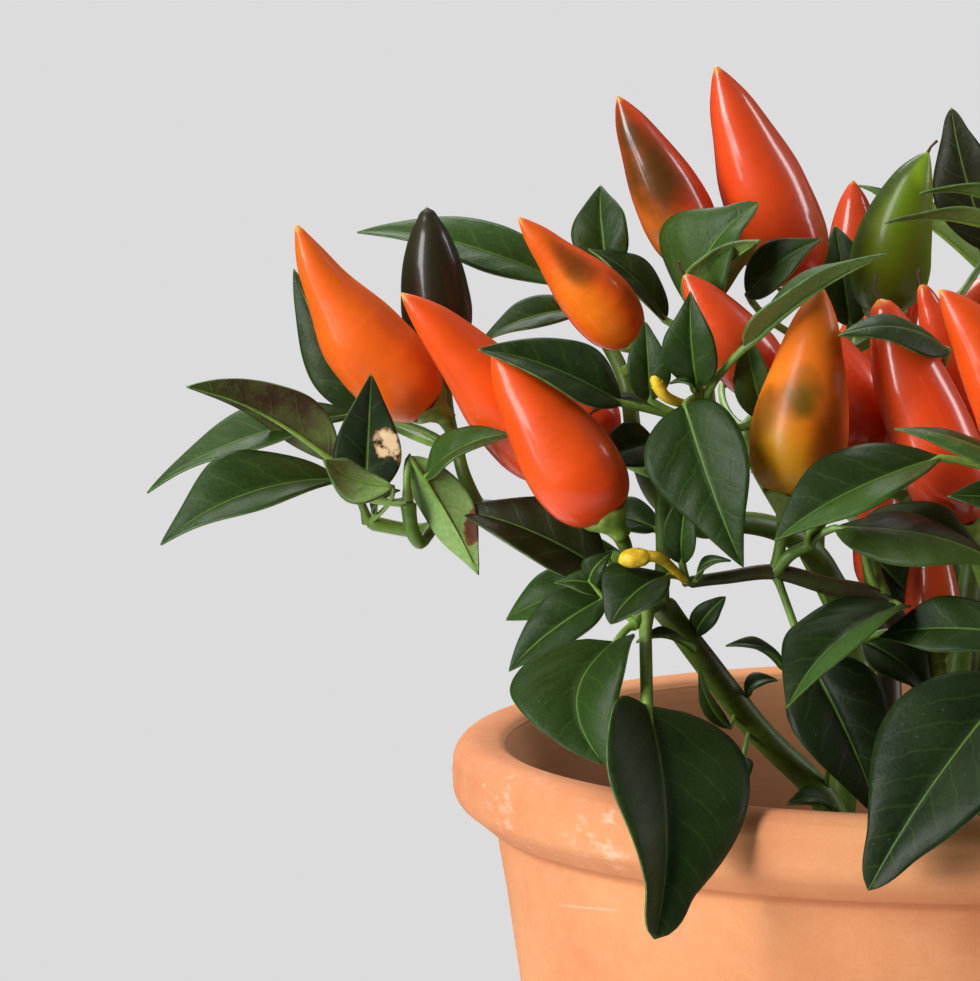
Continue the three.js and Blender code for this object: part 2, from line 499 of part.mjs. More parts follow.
// Materials
const clay = new THREE.MeshStandardMaterial({ color: 0xd98a5a, roughness: 0.85, metalness: 0 });
const earth = new THREE.MeshStandardMaterial({ color: 0x2e2119, roughness: 0.98, metalness: 0 });
const foliage = new THREE.MeshStandardMaterial({ color: 0x31501f, roughness: 0.5, metalness: 0 });
const skins = Object.fromEntries(Object.entries(RIPENESS)
  .map(([name, color]) => [name, new THREE.MeshStandardMaterial({ color, roughness: 0.2, metalness: 0 })]));

// The object
const object = new THREE.Group();
function addPiece(name, geometry, material, turn = 0) {
  const mesh = new THREE.Mesh(geometry, material);
  mesh.name = name;
  mesh.rotation.z = THREE.MathUtils.degToRad(turn);
  object.add(mesh);
}

const turnedTrunks = REPEATS.flatMap(({ turn, plants }) => plants.map((plant) => {
  const spot = new THREE.Vector2(...TRUNKS[plant]);
  return spot.rotateAround(new THREE.Vector2(), THREE.MathUtils.degToRad(turn)).toArray();
}));
addPiece("pot", potBody(), clay);
addPiece("soil", soilBody(turnedTrunks), earth);
for (const { where, turn, plants, without } of REPEATS) {
  for (const plant of plants) {
    addPiece(`${plant}_stem_${where}`, plantBody(plant, without, where === "near"), foliage, turn);
    for (const one of FRUITS.filter((each) => each.plant === plant && !without.includes(each.name))) {
      addPiece(`chilli_${one.name}_${where}`, fruitBody(one), skins[one.ripeness], turn);
    }
  }
}

export default object;
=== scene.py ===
"""Looks of a potted ornamental chilli pepper plant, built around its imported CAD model.

Run as a script in Blender: the model is loaded as a fixed frame, each operator makes one piece or group of
like pieces over it, and main() calls them in order. Lengths in the tables are millimetres, except where a
comment says metres.
"""

import math
import random

import bpy
import numpy as np
from bpy.props import FloatProperty, FloatVectorProperty, IntProperty, PointerProperty
from mathutils import Matrix, Vector, noise


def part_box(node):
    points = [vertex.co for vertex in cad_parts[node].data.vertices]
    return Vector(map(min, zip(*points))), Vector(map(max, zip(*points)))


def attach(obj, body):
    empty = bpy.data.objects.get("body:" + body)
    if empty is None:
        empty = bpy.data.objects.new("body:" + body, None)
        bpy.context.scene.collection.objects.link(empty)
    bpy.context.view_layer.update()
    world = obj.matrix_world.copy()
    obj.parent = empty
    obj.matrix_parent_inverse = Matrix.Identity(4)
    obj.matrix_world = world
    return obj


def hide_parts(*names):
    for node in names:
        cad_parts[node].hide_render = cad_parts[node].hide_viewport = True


bl_info = {
    "name": "Potted Chilli Pepper Plant",
    "version": (1, 0, 0),
    "blender": (4, 5, 0),
    "location": "View3D > Sidebar > Chilli Plant",
    "description": "Finishes the leaves, fruits, stems, soil and clay pot of a chilli pepper plant",
    "category": "Object",
}

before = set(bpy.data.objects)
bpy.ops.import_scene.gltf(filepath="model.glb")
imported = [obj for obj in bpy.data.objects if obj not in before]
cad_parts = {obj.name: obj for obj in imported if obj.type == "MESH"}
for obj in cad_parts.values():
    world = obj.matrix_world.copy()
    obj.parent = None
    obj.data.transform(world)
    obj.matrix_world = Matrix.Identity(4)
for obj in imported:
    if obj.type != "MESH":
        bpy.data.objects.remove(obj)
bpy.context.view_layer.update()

MM = 0.001

# Places are read off a front view: millimetres across from its left edge and down from its top edge, and the
# depth behind the pot's axis. The eye is EYE_DISTANCE from the view's middle and looks down by EYE_PITCH.
VIEW_MIDDLE = (98, 98.1)
VIEW_SIDE = 196.2
AXIS_ACROSS = 190
MIDDLE_OVER_RIM = 49.5
EYE_DISTANCE = 1400
EYE_PITCH = math.radians(7.4)
SENSOR_WIDTH = 36

# The pot and its soil: lengths in millimetres, the scuffs' middles in metres, and numbers of holes, steps and
# rings
POT_RADIUS, _, POT_HEIGHT = (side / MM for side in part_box("pot")[1])
GROOVE_RADIUS = 90.6
FOOT_RADIUS = 67
MOUTH_RADIUS = 88.4
WALL = 6.5
FLOOR = 9
DRAIN_RADIUS = 6
DRAIN_CIRCLE = 36
DRAINS = 3
ROLL_HEIGHT = 17.6
ROLL_SINK = 4
GROOVE_HEIGHT = POT_HEIGHT - ROLL_HEIGHT
SOIL_TOP = 140
SOIL_MOUND = 2.5
SOIL_WAVES = ((0, 55, 2.2), (3, 190, 1.3), (7, 520, 0.6))
ROUGH_SOIL_RADIUS = 74
SEAT_GAP = 0.4
HUB_RADIUS = 8
OUTER_STEPS = 12
INNER_STEPS = 10
BED_STEPS = 8
BED_RINGS = 34
RIDGE_HEIGHT = 174.2
SCUFFS = ((-89.1 * MM, -44.6 * MM, 168.2 * MM), (-71 * MM, -69.9 * MM, 166.2 * MM))
SCRATCH_HEIGHT = 144.7

# The ways that the eye looks and that it has as up, and where it stands, in millimetres
AHEAD = Vector((0, math.cos(EYE_PITCH), -math.sin(EYE_PITCH)))
UPWARD = Vector((0, math.sin(EYE_PITCH), math.cos(EYE_PITCH)))
EYE = Vector((VIEW_MIDDLE[0] - AXIS_ACROSS, 0, POT_HEIGHT + MIDDLE_OVER_RIM)) - AHEAD * EYE_DISTANCE

# The plants' trunks in the soil, and the turns about the pot's axis that repeat the plants, in degrees.
# A repeat has no small leaves, and lacks the leaves, stems and fruits that `without` names.
TRUNK_RADIUS = 3.6
TRUNK_FOOT = 112
TRUNK_TOP = 152
TRUNKS = {"left": (-21, -19), "back_left": (-22, 0), "front_right": (0, -24), "back_right": (7, 7)}
SPARED = ("inner_left_1", "inner_left_2", "crown_2", "hanging_mate", "left_low_1", "red_hidden",
          "right_2", "right_4", "right_7", "right_8", "right_12", "right_13", "crown_8", "a_stub",
          "knot_leaf_2", "top_left_2", "top_right_3", "top_right_4", "top_right_5", "d_up", "green_top",
          "turning_mid", "orange_right")
REPEATS = (
    {"where": "near", "turn": 0, "plants": tuple(TRUNKS), "without": ()},
    {"where": "far", "turn": 204, "plants": tuple(TRUNKS), "without": SPARED},
    {"where": "right", "turn": 108, "plants": ("left",), "without": SPARED},
)

# Stems, leaves and fruits: lengths in millimetres, VEIN_BEND per millimetre, shares of a blade's width, half
# width or length, and numbers of steps
STALK_RADIUS = 0.85
PEDICEL_RADIUS = 1.15
CALYX_GAP = 0.35
EDGE_WAVE = 0.045
UNEVEN = 0.05
CURL = 0.035
CURL_FROM = 0.55
SWELL = 0.3
QUILT = 0.02
MIDRIB_DEPTH = 0.22
MIDRIB_REACH = 0.6
MIDRIB_STEPS = 10
STALK_STEPS = 9
PEDICEL_STEPS = 12
FLOWER_STEPS = 12
VEIN_SPACING = 6.6
VEIN_SLANT = 0.75
VEIN_BEND = 0.028
VEIN_SHIFT = 0.46

# The strands' skins, by their number in the list of materials
OLD, GREEN, LEAF_STALK, WITHERED, BROWN = range(5)


# Stems: name, plant, radius at the foot and at the end, the points that they run through, and their skin.
STEMS = []


def stem(name, plant, radii, points, skin=GREEN):
    STEMS.append({"name": name, "plant": plant, "radii": radii, "points": points, "skin": skin})


stem("a_main", "left", (3.1, 2.4), ((165, 160, -22), (152, 146.5, -34), (140, 131, -44), (132, 120.5, -50)),
  OLD)
stem("a_left", "left", (2, 1.3),
  ((132, 120.5, -50), (122, 111, -46), (109, 104.5, -43), (95.5, 101.5, -42), (85, 106, -42),
    (73.5, 104.5, -42)))
stem("a_stub", "left", (1.25, 1.45),
  ((86.5, 105.3, -43), (85.2, 107.2, -47), (83.8, 108.4, -50), (82.3, 105.6, -51.5), (81.6, 100.4, -52)))
stem("a_fruit", "left", (1.5, 1.2), ((95.5, 101.5, -42), (92.8, 95, -41), (91.5, 90, -39)))
stem("a_up", "left", (1.6, 1.1),
  ((132, 120.5, -50), (132.6, 111, -51), (132.6, 98, -53), (136, 87, -56), (141, 79.8, -60)))
stem("a_front", "left", (1.4, 1.1), ((132, 120.5, -50), (129, 122.5, -56), (126.8, 125, -62)))
stem("c_main", "back_left", (2.7, 1.4),
  ((170, 130, -1), (165, 114, -8), (158, 107, -14), (149, 104.5, -22), (140, 105.5, -28), (131, 99, -31),
    (127, 88, -32), (125, 76, -30), (119, 64, -20)), OLD)
stem("c_up", "back_left", (1.8, 1.2), ((140, 105.5, -28), (142, 90, -22), (141.5, 77, -20), (140, 68, -20)))
stem("b_main", "front_right", (2.2, 1.05),
  ((186, 142, -38), (181, 128, -51), (176, 120, -56), (165, 117, -60), (155, 114.4, -62), (145, 115.5, -64),
    (137.5, 116.5, -66)), BROWN)
stem("b_twig", "front_right", (1.4, 1.1), ((155, 114.4, -62), (158, 111, -64), (162, 109, -65)))
stem("e_up", "front_right", (2.1, 1.3),
  ((176, 120, -56), (174.5, 112, -50), (180, 104, -40), (184, 94, -33), (187, 84, -30), (188, 75, -29)))
stem("f_main", "front_right", (2.4, 1.5),
  ((196, 142, -32), (199, 128, -44), (202, 118, -56), (206, 109, -64), (209, 101, -66)), OLD)
stem("d_main", "back_right", (2.7, 1.4),
  ((192, 122, 12), (187, 104, 8), (180, 88, 2), (173, 77, -4), (167, 70, -8)), OLD)
stem("d_up", "back_right", (1.7, 1.2), ((187, 104, 8), (196, 86, 2), (203, 68, -8), (205, 56, -18)))


# Leaves: name, plant, the blade's foot and tip, its width, the way its upper side faces, and what differs
# from a plain one: how far each half folds up from flat, how far the midrib arches, near which point of a
# stem the stalk starts, the share of its length that the stalk bends back, where the blade is widest, how
# broad its foot is, how far its tip is drawn out or blunt, how far its tip curls back and its midrib sweeps
# aside, its tone from old to new growth, which also holds painted light (lighter on lit leaves, darker on
# shaded ones), how much lighter one half is painted as painted light on its lit side, how purple it is,
# where a dead patch is (its place across and along the blade and its reach), and how thick its stalk is.
LEAVES = []
PLAIN = {"fold": 14, "arch": 2, "on": None, "sway": 0.18, "small": False, "belly": 0.4, "broad": 0.5,
         "drawn": 0.15, "blunt": 0.0, "curl": 1.0, "sweep": 0.0, "young": 0.3, "lit": 0.0, "purple": 0.0,
         "dead": None, "stalk": 1.0}


def leaf(name, plant, foot, tip, width, face, **more):
    LEAVES.append({"name": name, "plant": plant, "foot": foot, "tip": tip, "width": width, "face": face,
                   **PLAIN, **more})


leaf("far_left_1", "left", (67.4, 92.6, -43), (37.4, 76.6, -50), 14, (-1, 3, 3), arch=3, fold=34,
  purple=1.0, young=0.1)
leaf("far_left_2", "left", (71, 83, -32), (29, 97.4, -34), 14, (-1, -2, 4), arch=3, on=(92, 91, -40),
  young=0.6)
leaf("far_left_3", "left", (67.6, 96, -47), (32, 108, -58), 18, (-1, -3, 4), fold=22, arch=4,
  young=0.5, belly=0.45)
leaf("far_left_4", "left", (73, 99.5, -50), (74.2, 75, -58), 13, (0, -4, 1), arch=-2, young=0,
  belly=0.36, dead=(-0.75, 0.42, 5.5))
leaf("far_left_5", "left", (78.6, 97.4, -57), (64.4, 92.2, -61), 11, (0, 3, -4), small=True, young=1,
  fold=4, belly=0.5, on=(73.5, 104.5, -42))
leaf("hanging", "left", (82, 91.4, -51), (96, 115, -58), 11, (4, 8, -3), fold=24, on=(81.6, 100.4, -52),
  young=0.8, dead=(-1, 0.66, 5))
leaf("hanging_mate", "left", (85.4, 95.4, -52), (101.6, 86.6, -61), 11, (-1, -2, 3), young=0.75,
  on=(87, 105.5, -42))
leaf("under_fruit", "left", (121, 114.5, -51), (91, 101.5, -51), 16, (1, -4, 3), fold=20, arch=3,
  young=0.1, purple=0.35)
leaf("left_low_1", "left", (121.5, 117, -41), (101, 123.8, -37), 12, (-1, -3, 2), young=0.8)
leaf("left_low_2", "left", (121, 119.5, -47), (101.6, 134, -50), 12, (-1, -3, 2), fold=16)
leaf("left_low_3", "left", (121.5, 118, -56), (111, 116.5, -58), 5.5, (0, -3, 2), small=True)
leaf("left_low_4", "left", (118, 116, -60), (122.4, 110.4, -62), 5, (-1, -3, 1), small=True)
leaf("over_rim_1", "left", (123.2, 128.6, -66), (120.6, 152.4, -86), 26, (-3, -6, 3), fold=22, arch=3,
  sweep=-5.4, blunt=0.6, drawn=0, young=0.5, belly=0.44, broad=0.85)
leaf("over_rim_2", "left", (129.4, 141.4, -82), (131.8, 187.4, -104), 35, (4.6, -6, 2),
  fold=19, arch=4, belly=0.3, drawn=0, blunt=2, young=0.28, stalk=1.6,
  on=(129, 122.5, -56), sway=0.05)
leaf("stem_leaf_1", "left", (139, 127.4, -46), (145, 119.4, -50), 5.6, (0, -3, 2),
  small=True, blunt=1, belly=0.55)
leaf("stem_leaf_2", "left", (139, 130.4, -51), (127.4, 128, -60), 6, (0, -1, 4), small=True)
leaf("stem_leaf_3", "left", (146, 145.6, -41), (139.6, 133.8, -47), 4, (-2, -3, 1), small=True)
leaf("stem_leaf_4", "left", (149.4, 139.4, -37), (155.4, 136, -39), 5, (0, -2, 3), small=True)
leaf("stem_leaf_5", "left", (148.6, 151.6, -40), (147.6, 158.6, -44), 4.5, (0, -3, 1), small=True)
leaf("stem_leaf_6", "left", (157, 134, -50), (145.4, 128.8, -54), 6, (0, -1, 3),
  small=True, on=(165, 160, -22))
leaf("stem_leaf_7", "left", (167, 162.4, -27), (157.4, 160.6, -35), 7, (0, -2, 3), small=True)
leaf("young_1", "left", (74.8, 102.6, -45), (79.8, 98, -49), 4.5, (-1, -2, 2), small=True)
leaf("behind_orange", "left", (76, 84, -25), (58.2, 54, -19), 13, (-3, -4, 1), on=(91.5, 90, -39))
leaf("crown_1", "left", (139.4, 77, -62), (138, 58.4, -66), 11, (-1, -4, 1))
leaf("crown_2", "left", (130, 80, -61), (129, 64.4, -61), 8.5, (0, -4, 1), blunt=0.6)
leaf("crown_3", "left", (149, 69.5, -67), (177, 50.4, -75), 14, (-1, 0, 4), fold=28, arch=1.5, young=0.45,
  curl=0.4)
leaf("crown_4", "left", (124, 80.6, -63), (96, 69.4, -71), 14, (0, -3, 3), fold=18)
leaf("crown_5", "left", (131, 82, -59), (118, 82.4, -59), 5, (0, -1, 3), small=True)
leaf("crown_6", "left", (137, 81, -65), (148.4, 113.4, -77), 20, (-2, -5, 2), belly=0.32,
  young=0.25)
leaf("crown_8", "left", (153, 84, -56), (149, 65.6, -58), 8, (-1, -4, 1), young=0.7, on=(136, 87, -56))
leaf("crown_7", "left", (139, 78.6, -62), (134, 76.6, -64), 3, (0, -2, 3), small=True)
leaf("inner_left_1", "left", (131, 88.6, -55), (119, 93, -58), 10, (0, -3, 2))
leaf("inner_left_2", "left", (131.4, 106, -47), (119.4, 104, -40), 9, (0, -3, 3))
leaf("top_left_1", "back_left", (113, 57, -9), (71.6, 45.4, -2), 14, (0, -2, 3), arch=3, young=0.8)
leaf("top_left_2", "back_left", (117, 62, -28), (96, 68, -33), 9, (0, -2, 3))
leaf("top_left_3", "back_left", (121.6, 54.5, -14), (120, 37, -8), 12, (-1, -4, 1))
leaf("top_left_4", "back_left", (133, 64, -17), (118, 49.5, -17), 10, (1, -2, 3))
leaf("top_mid_1", "back_left", (138.5, 62, -36), (151, 40.5, -44), 22, (-3, -4, 3),
  arch=4, young=0.8, blunt=1, on=(140.5, 70, -20))
leaf("top_mid_2", "back_left", (138.5, 62.5, -44), (152, 47.6, -52), 12, (-1, 3, 3),
  on=(140.5, 70, -20))
leaf("knot_leaf_1", "front_right", (134, 115, -69), (122, 124.4, -78), 15, (-2, -4, 4),
  fold=18, belly=0.58, blunt=0.8, young=0.15)
leaf("knot_leaf_2", "front_right", (136.4, 112.5, -68), (138, 97.4, -69), 7.5, (-1, -3, 1), fold=26)
leaf("knot_leaf_3", "front_right", (139.5, 116, -68), (146, 112, -72), 3.6, (0, -2, 3), small=True)
leaf("right_1", "front_right", (188, 91.6, -71), (154.8, 107.2, -83), 19, (-1, -3, 4),
  fold=18, arch=2, belly=0.5, young=0.2, lit=1.2)
leaf("right_2", "front_right", (161.8, 106.4, -68.5), (171.6, 101, -64), 8, (0, 3, 2))
leaf("right_3", "front_right", (167, 105.6, -68), (202, 113, -78), 15, (0, -2, 3),
  fold=-16, arch=3, purple=0.3, young=0.2, lit=-1.2, on=(162, 109, -65))
leaf("right_4", "front_right", (173, 104, -61), (198, 111.5, -67), 12, (0, -2, 3), on=(176, 120, -56))
leaf("right_5", "front_right", (180, 121.4, -61), (157, 140.6, -86), 23, (-3, -3, 4), fold=16, arch=3,
  young=0.05, lit=1.2)
leaf("right_6", "front_right", (161, 131, -64), (176, 163.5, -71), 20, (1, -5, 2),
  arch=3, young=0, on=(155, 114.4, -62))
leaf("right_7", "front_right", (203, 136, -92), (173.4, 177.4, -111), 29, (-2, -5, 2),
  arch=3, young=0.1, blunt=1.1, on=(202, 118, -56))
leaf("right_8", "front_right", (203, 127, -76), (175.6, 127, -72), 14, (0, -3, 3), on=(199, 128, -44))
leaf("right_9", "front_right", (172.6, 128.4, -50), (187, 139.5, -55), 12, (1, -3, 3))
leaf("right_10", "front_right", (189.5, 70, -53), (168, 66.4, -70), 12, (0, -2, 3),
  fold=-12, arch=3, on=(184, 94, -33), sway=0)
leaf("right_11", "front_right", (207, 96, -83), (179.2, 85, -83), 10, (0, -1, 3), fold=-10, lit=1)
leaf("right_12", "front_right", (208, 102.6, -76), (189.8, 99, -84), 10, (-1, -3, 2))
leaf("right_13", "front_right", (183, 120, -34), (171.5, 107.5, -37), 11, (-1, -4, 1), young=0.1)
leaf("top_right_1", "back_right", (149.6, 59, -36), (164, 47.6, -41), 10, (1, -3, 3))
leaf("top_right_2", "back_right", (170, 65, 2), (167, 45, 8), 12, (0, -4, 1))
leaf("top_right_3", "back_right", (198, 50, 22), (190, 21.6, 27), 14, (-2, -4, 1), on=(173, 77, -4),
  young=0, purple=0.3, blunt=1, drawn=0)
leaf("top_right_4", "back_right", (206, 48, -26), (177, 43.6, -34), 9, (0, 1, 4))
leaf("top_right_5", "back_right", (205, 43, -18), (184, 38, -22), 8, (0, 1, 4))


# Fruits: name, plant, foot and tip, radius, how far the axis bows (across, down, depth), the ripeness, near
# which point of a stem the stalk starts, the length of the style left on the tip, how slim the tip half is,
# and how round the tip is.
FRUITS = []


def fruit(name, plant, foot, tip, radius, bow, ripeness, on=None, style=0.0, slim=0.0, blunt=0.0):
    FRUITS.append({"name": name, "plant": plant, "foot": foot, "tip": tip, "radius": radius, "bow": bow,
                   "ripeness": ripeness, "on": on, "style": style, "slim": slim, "blunt": blunt})


fruit("orange_left", "left", (85.8, 80.8, -38.5), (59.4, 45.2, -46), 8.8, (-2.2, 1.7, 0), "orange",
  slim=0.2)
fruit("dark_small", "left", (88, 70, -25), (85.4, 41.6, -24), 7, (0, 0, 0), "dark", (91.5, 90, -39),
  slim=-0.15, blunt=0.36)
fruit("orange_crossing", "left", (110, 94.5, -48), (80.4, 58.8, -57), 8, (1.5, -1, 0), "red_orange",
  (103, 103, -42))
fruit("orange_front", "left", (121.4, 103, -67), (98.6, 70.4, -68), 9.1, (0, 0, 0), "red_orange",
  (123, 111, -47))
fruit("red_hidden", "left", (121.6, 88.5, -42), (103, 69, -38), 6.6, (0, 0, 0), "red")
fruit("red_crown", "left", (154, 78, -48), (136.8, 54.8, -53), 6.7, (0, 0, 0), "red", (132.6, 100, -53), 3)
fruit("turning_left", "back_left", (126.4, 67.6, -38), (103.8, 43.6, -45), 6.6, (0, 0, 0),
  "turning_orange", slim=0.15)
fruit("turning_top", "back_left", (140, 52.4, -25), (123.6, 19.4, -30), 7.2, (0, 0, 0), "turning_brown")
fruit("turning_mid", "front_right", (157.8, 99, -64), (164.2, 57.3, -62), 9.3, (0, 0, 0), "turning_green",
  (155, 114.4, -62))
fruit("red_behind", "front_right", (172, 91, -41), (162, 64, -40), 8, (2, 0, 0), "red")
fruit("red_tall", "front_right", (193, 105, -53), (175.8, 59.8, -51.5), 8.5, (0, 0, 0), "red",
  (199, 128, -44), 5, -0.25, 0.44)
fruit("red_second", "front_right", (200, 96, -35), (184.2, 56.8, -37), 7, (0, 0, 0), "red",
  (199, 128, -44), 3, 0, 0.34)
fruit("orange_right", "front_right", (208, 94, -67), (188, 58, -70), 8.5, (2, -1.2, 0), "red_orange")
fruit("red_low", "front_right", (187, 130, -43), (185.5, 101, -43), 5.4, (0, 0, 0), "red", (192, 142, -33))
fruit("red_big", "back_right", (160, 56.2, -18), (143.2, 13.4, -26), 9.1, (0, 0, 0), "red")
fruit("red_far", "back_right", (171, 58, 22), (170.6, 36.2, 22), 6, (0, 0, 0), "red")
fruit("green_top", "back_right", (177, 62, -7), (185.6, 30.4, -12), 8.2, (-2, -0.5, 0), "green", None, 2.5)


# Withered flowers: the plant, where the stalk starts and bends, and the middle of the knob.
FLOWERS = (
    {"plant": "front_right", "foot": (137, 116, -69), "bend": (131.8, 111.6, -73),
     "knob": (127, 111.6, -74), "size": 2.3},
    {"plant": "left", "foot": (137.4, 82.2, -62), "bend": (133.6, 79.6, -66), "knob": (131.4, 76.8, -67),
     "size": 1.3},
)


def linear(colour):
    """The linear RGBA of an sRGB hex colour"""
    channels = [(colour >> shift & 0xFF) / 255 for shift in (16, 8, 0)]
    return tuple(c / 12.92 if c <= 0.04045 else ((c + 0.055) / 1.055) ** 2.4 for c in channels) + (1,)


def colour_property(name, description, colour):
    return FloatVectorProperty(name=name, description=description, subtype="COLOR", size=4, min=0, max=1,
                               default=linear(colour))


def length_property(name, description, millimetres):
    return FloatProperty(name=name, description=description, unit="LENGTH", default=millimetres * MM)


def power_property(name, description, watts):
    return FloatProperty(name=name, description=description, unit="POWER", default=watts)


# Settings
class PotSettings(bpy.types.PropertyGroup):
    """The terracotta pot"""
    clay: colour_property("Clay", "Fired clay where it is clean", 0xD89463)
    pale_clay: colour_property("Pale clay", "Fired clay where the skin is thin and chalky", 0xE2AA82)
    deep_clay: colour_property("Deep clay", "Fired clay in its redder clouds", 0xCF8458)
    # Painted shade: the darker colour painted over the inside of the pot
    inside_shade_clay: colour_property("Inside shade clay", "Fired clay inside the pot", 0xA0704E)
    lime: colour_property("Lime", "Lime and scuffs on the roll", 0xF2D2B8)
    sides: IntProperty(name="Sides", description="Steps of the turned clay", default=192, min=16)


class SoilSettings(bpy.types.PropertyGroup):
    """The potting soil"""
    peat: colour_property("Peat", "Moist peat", 0x2B1E16)
    bark: colour_property("Bark", "Composted bark", 0x5A4030)
    perlite: colour_property("Perlite", "Expanded perlite grains", 0xD8D4CA)
    crumbs: IntProperty(name="Crumbs", description="Loose crumbs on the soil", default=420, min=0)
    grains: IntProperty(name="Grains", description="Perlite grains on the soil", default=60, min=0)


class PlantSettings(bpy.types.PropertyGroup):
    """The leaves and stems"""
    blade: length_property("Blade", "Thickness of a leaf", 0.45)
    old_leaf: colour_property("Old leaf", "Upper side of a full-grown leaf", 0x152509)
    # Also the lighter green that painted light mixes into lit leaves and lit halves
    young_leaf: colour_property("Young leaf", "Upper side of a young leaf", 0x365418)
    under_leaf: colour_property("Under side", "Lower side of a leaf", 0x64803A)
    vein: colour_property("Vein", "Midrib and large veins", 0x5E7E30)
    purple: colour_property("Purple flush", "Flush of leaves and stems that stand in strong light", 0x3C281A)
    green_stem: colour_property("Green stem", "Young stems and stalks", 0x688A30)
    old_stem: colour_property("Old stem", "Stems that turn woody", 0x506E22)


class FruitSettings(bpy.types.PropertyGroup):
    """The fruits, by their ripeness"""
    green: colour_property("Green", "Unripe fruit", 0x648010)
    dark: colour_property("Dark", "Unripe fruit that darkens", 0x29260E)
    turning: colour_property("Turning", "Olive brown of a turning fruit", 0x5E3604)
    yellow: colour_property("Yellow", "Yellow orange under a turning fruit's shoulders", 0xEC8212)
    orange: colour_property("Orange", "Fruit short of ripe", 0xEC6414)
    red_orange: colour_property("Red orange", "Nearly ripe fruit", 0xE44E0A)
    red: colour_property("Red", "Ripe fruit", 0xE24A16)
    tip: colour_property("Tip", "Dry point of a fruit", 0xF2A838)


class StageSettings(bpy.types.PropertyGroup):
    """The floor, lights and camera"""
    pale: colour_property("Pale grey", "Backdrop", 0xDCDCDC)
    fill: FloatProperty(name="Fill", description="Share of the backdrop's glow that lights the plant",
                        default=0.15, min=0)
    key: power_property("Key light", "Power of the soft light at the front left", 40)
    low: power_property("Low light", "Power of the tall soft light low on the left", 3)
    rim: power_property("Rim light", "Power of the soft light at the back right", 9)
    top: power_property("Top light", "Power of the soft light overhead, which gives sheen", 16)
    floor_radius: length_property("Floor radius", "Where the floor has faded into the backdrop", 560)


class PlantLook(bpy.types.PropertyGroup):
    """All settings of the potted plant"""
    pot: PointerProperty(type=PotSettings)
    soil: PointerProperty(type=SoilSettings)
    plant: PointerProperty(type=PlantSettings)
    fruit: PointerProperty(type=FruitSettings)
    stage: PointerProperty(type=StageSettings)


# Placing
def seen(place):
    """The point, in millimetres, that the front view shows at this place"""
    across, down, depth = place
    ray = AHEAD * EYE_DISTANCE + UPWARD * (VIEW_MIDDLE[1] - down)
    ray.x += across - VIEW_MIDDLE[0]
    return EYE + ray * ((depth - EYE.y) / ray.y)


def smooth(low, high, value):
    share = min(1, max(0, (value - low) / (high - low)))
    return share * share * (3 - 2 * share)


def eased(t, start, leaving, end, arriving):
    """Between start and end, with these slopes there, at a share t of the way"""
    return ((2 * t**3 - 3 * t**2 + 1) * start + (t**3 - 2 * t**2 + t) * leaving
            + (3 * t**2 - 2 * t**3) * end + (t**3 - t**2) * arriving)


def through(stations, share):
    """A smooth curve through (share, value) stations"""
    for i in range(len(stations) - 1):
        if share <= stations[i + 1][0] or i == len(stations) - 2:
            break
    before, after = stations[max(i - 1, 0)], stations[min(i + 2, len(stations) - 1)]
    (x1, y1), (x2, y2) = stations[i], stations[i + 1]
    step = x2 - x1
    slope1 = (y2 - before[1]) / (x2 - before[0])
    slope2 = (after[1] - y1) / (after[0] - x1)
    return eased(min(1, max(0, (share - x1) / step)), y1, step * slope1, y2, step * slope2)


def rounded_line(points, steps):
    """Points of a smooth curve through the points, with this many steps in all"""
    ends = [2 * points[0] - points[1], *points, 2 * points[-1] - points[-2]]
    spans = len(points) - 1
    line = []
    for k in range(steps + 1):
        along = k / steps * spans
        i = min(int(along), spans - 1)
        before, start, end, after = ends[i:i + 4]
        line.append(eased(along - i, start, (end - before) * 0.5, end, (after - start) * 0.5))
    return line


def bent_line(start, bend, end, steps):
    """Points of a curve that leaves its start toward the bend and arrives from there"""
    shares = [k / steps for k in range(steps + 1)]
    return [start * (1 - t) ** 2 + bend * (2 * t * (1 - t)) + end * t**2 for t in shares]


def nearest_on_stems(plant, place):
    candidates = []
    for one in STEMS:
        if one["plant"] == plant:
            points = [seen(point) for point in one["points"]]
            candidates += rounded_line(points, 6 * len(points))
    return min(candidates, key=lambda point: (point - place).length)


# Modelling
def deselect():
    if bpy.context.object is not None and bpy.context.object.mode != "OBJECT":
        bpy.ops.object.mode_set(mode="OBJECT")
    bpy.ops.object.select_all(action="DESELECT")


def select_only(*pieces):
    deselect()
    for piece in pieces:
        piece.select_set(True)
    bpy.context.view_layer.objects.active = pieces[0]


def apply_modifier(piece, kind, **settings):
    select_only(piece)
    modifier = piece.modifiers.new(kind.title(), kind)
    for name, value in settings.items():
        setattr(modifier, name, value)
    bpy.ops.object.modifier_apply(modifier=modifier.name)


def joined(pieces, name):
    select_only(*pieces)
    if len(pieces) > 1:
        bpy.ops.object.join()
    piece = bpy.context.object
    piece.name = name
    piece.data.name = name
    return piece


def copy_of(master, name):
    """A copy with a mesh of its own"""
    piece = master.copy()
    piece.data = master.data.copy()
    piece.name = name
    bpy.context.collection.objects.link(piece)
    return piece


def remove(*pieces):
    for piece in pieces:
        bpy.data.objects.remove(piece, do_unlink=True)


def edit_all():
    bpy.ops.object.mode_set(mode="EDIT")
    bpy.ops.mesh.select_all(action="SELECT")


def face_outward():
    bpy.ops.mesh.select_all(action="SELECT")
    bpy.ops.mesh.normals_make_consistent(inside=False)
    bpy.ops.object.mode_set(mode="OBJECT")


def turn_round(piece, repeat):
    """Turns a grown piece about the pot's axis to where its repeat stands"""
    piece.data.transform(Matrix.Rotation(math.radians(repeat["turn"]), 4, "Z"))


def place_vertices(piece, places):
    piece.data.vertices.foreach_set("co", [number for place in places for number in place])
    piece.data.update()


def write_attribute(piece, name, values):
    """One number for each vertex, which the piece's materials read by this name"""
    piece.data.attributes.new(name, "FLOAT", "POINT").data.foreach_set("value", values)


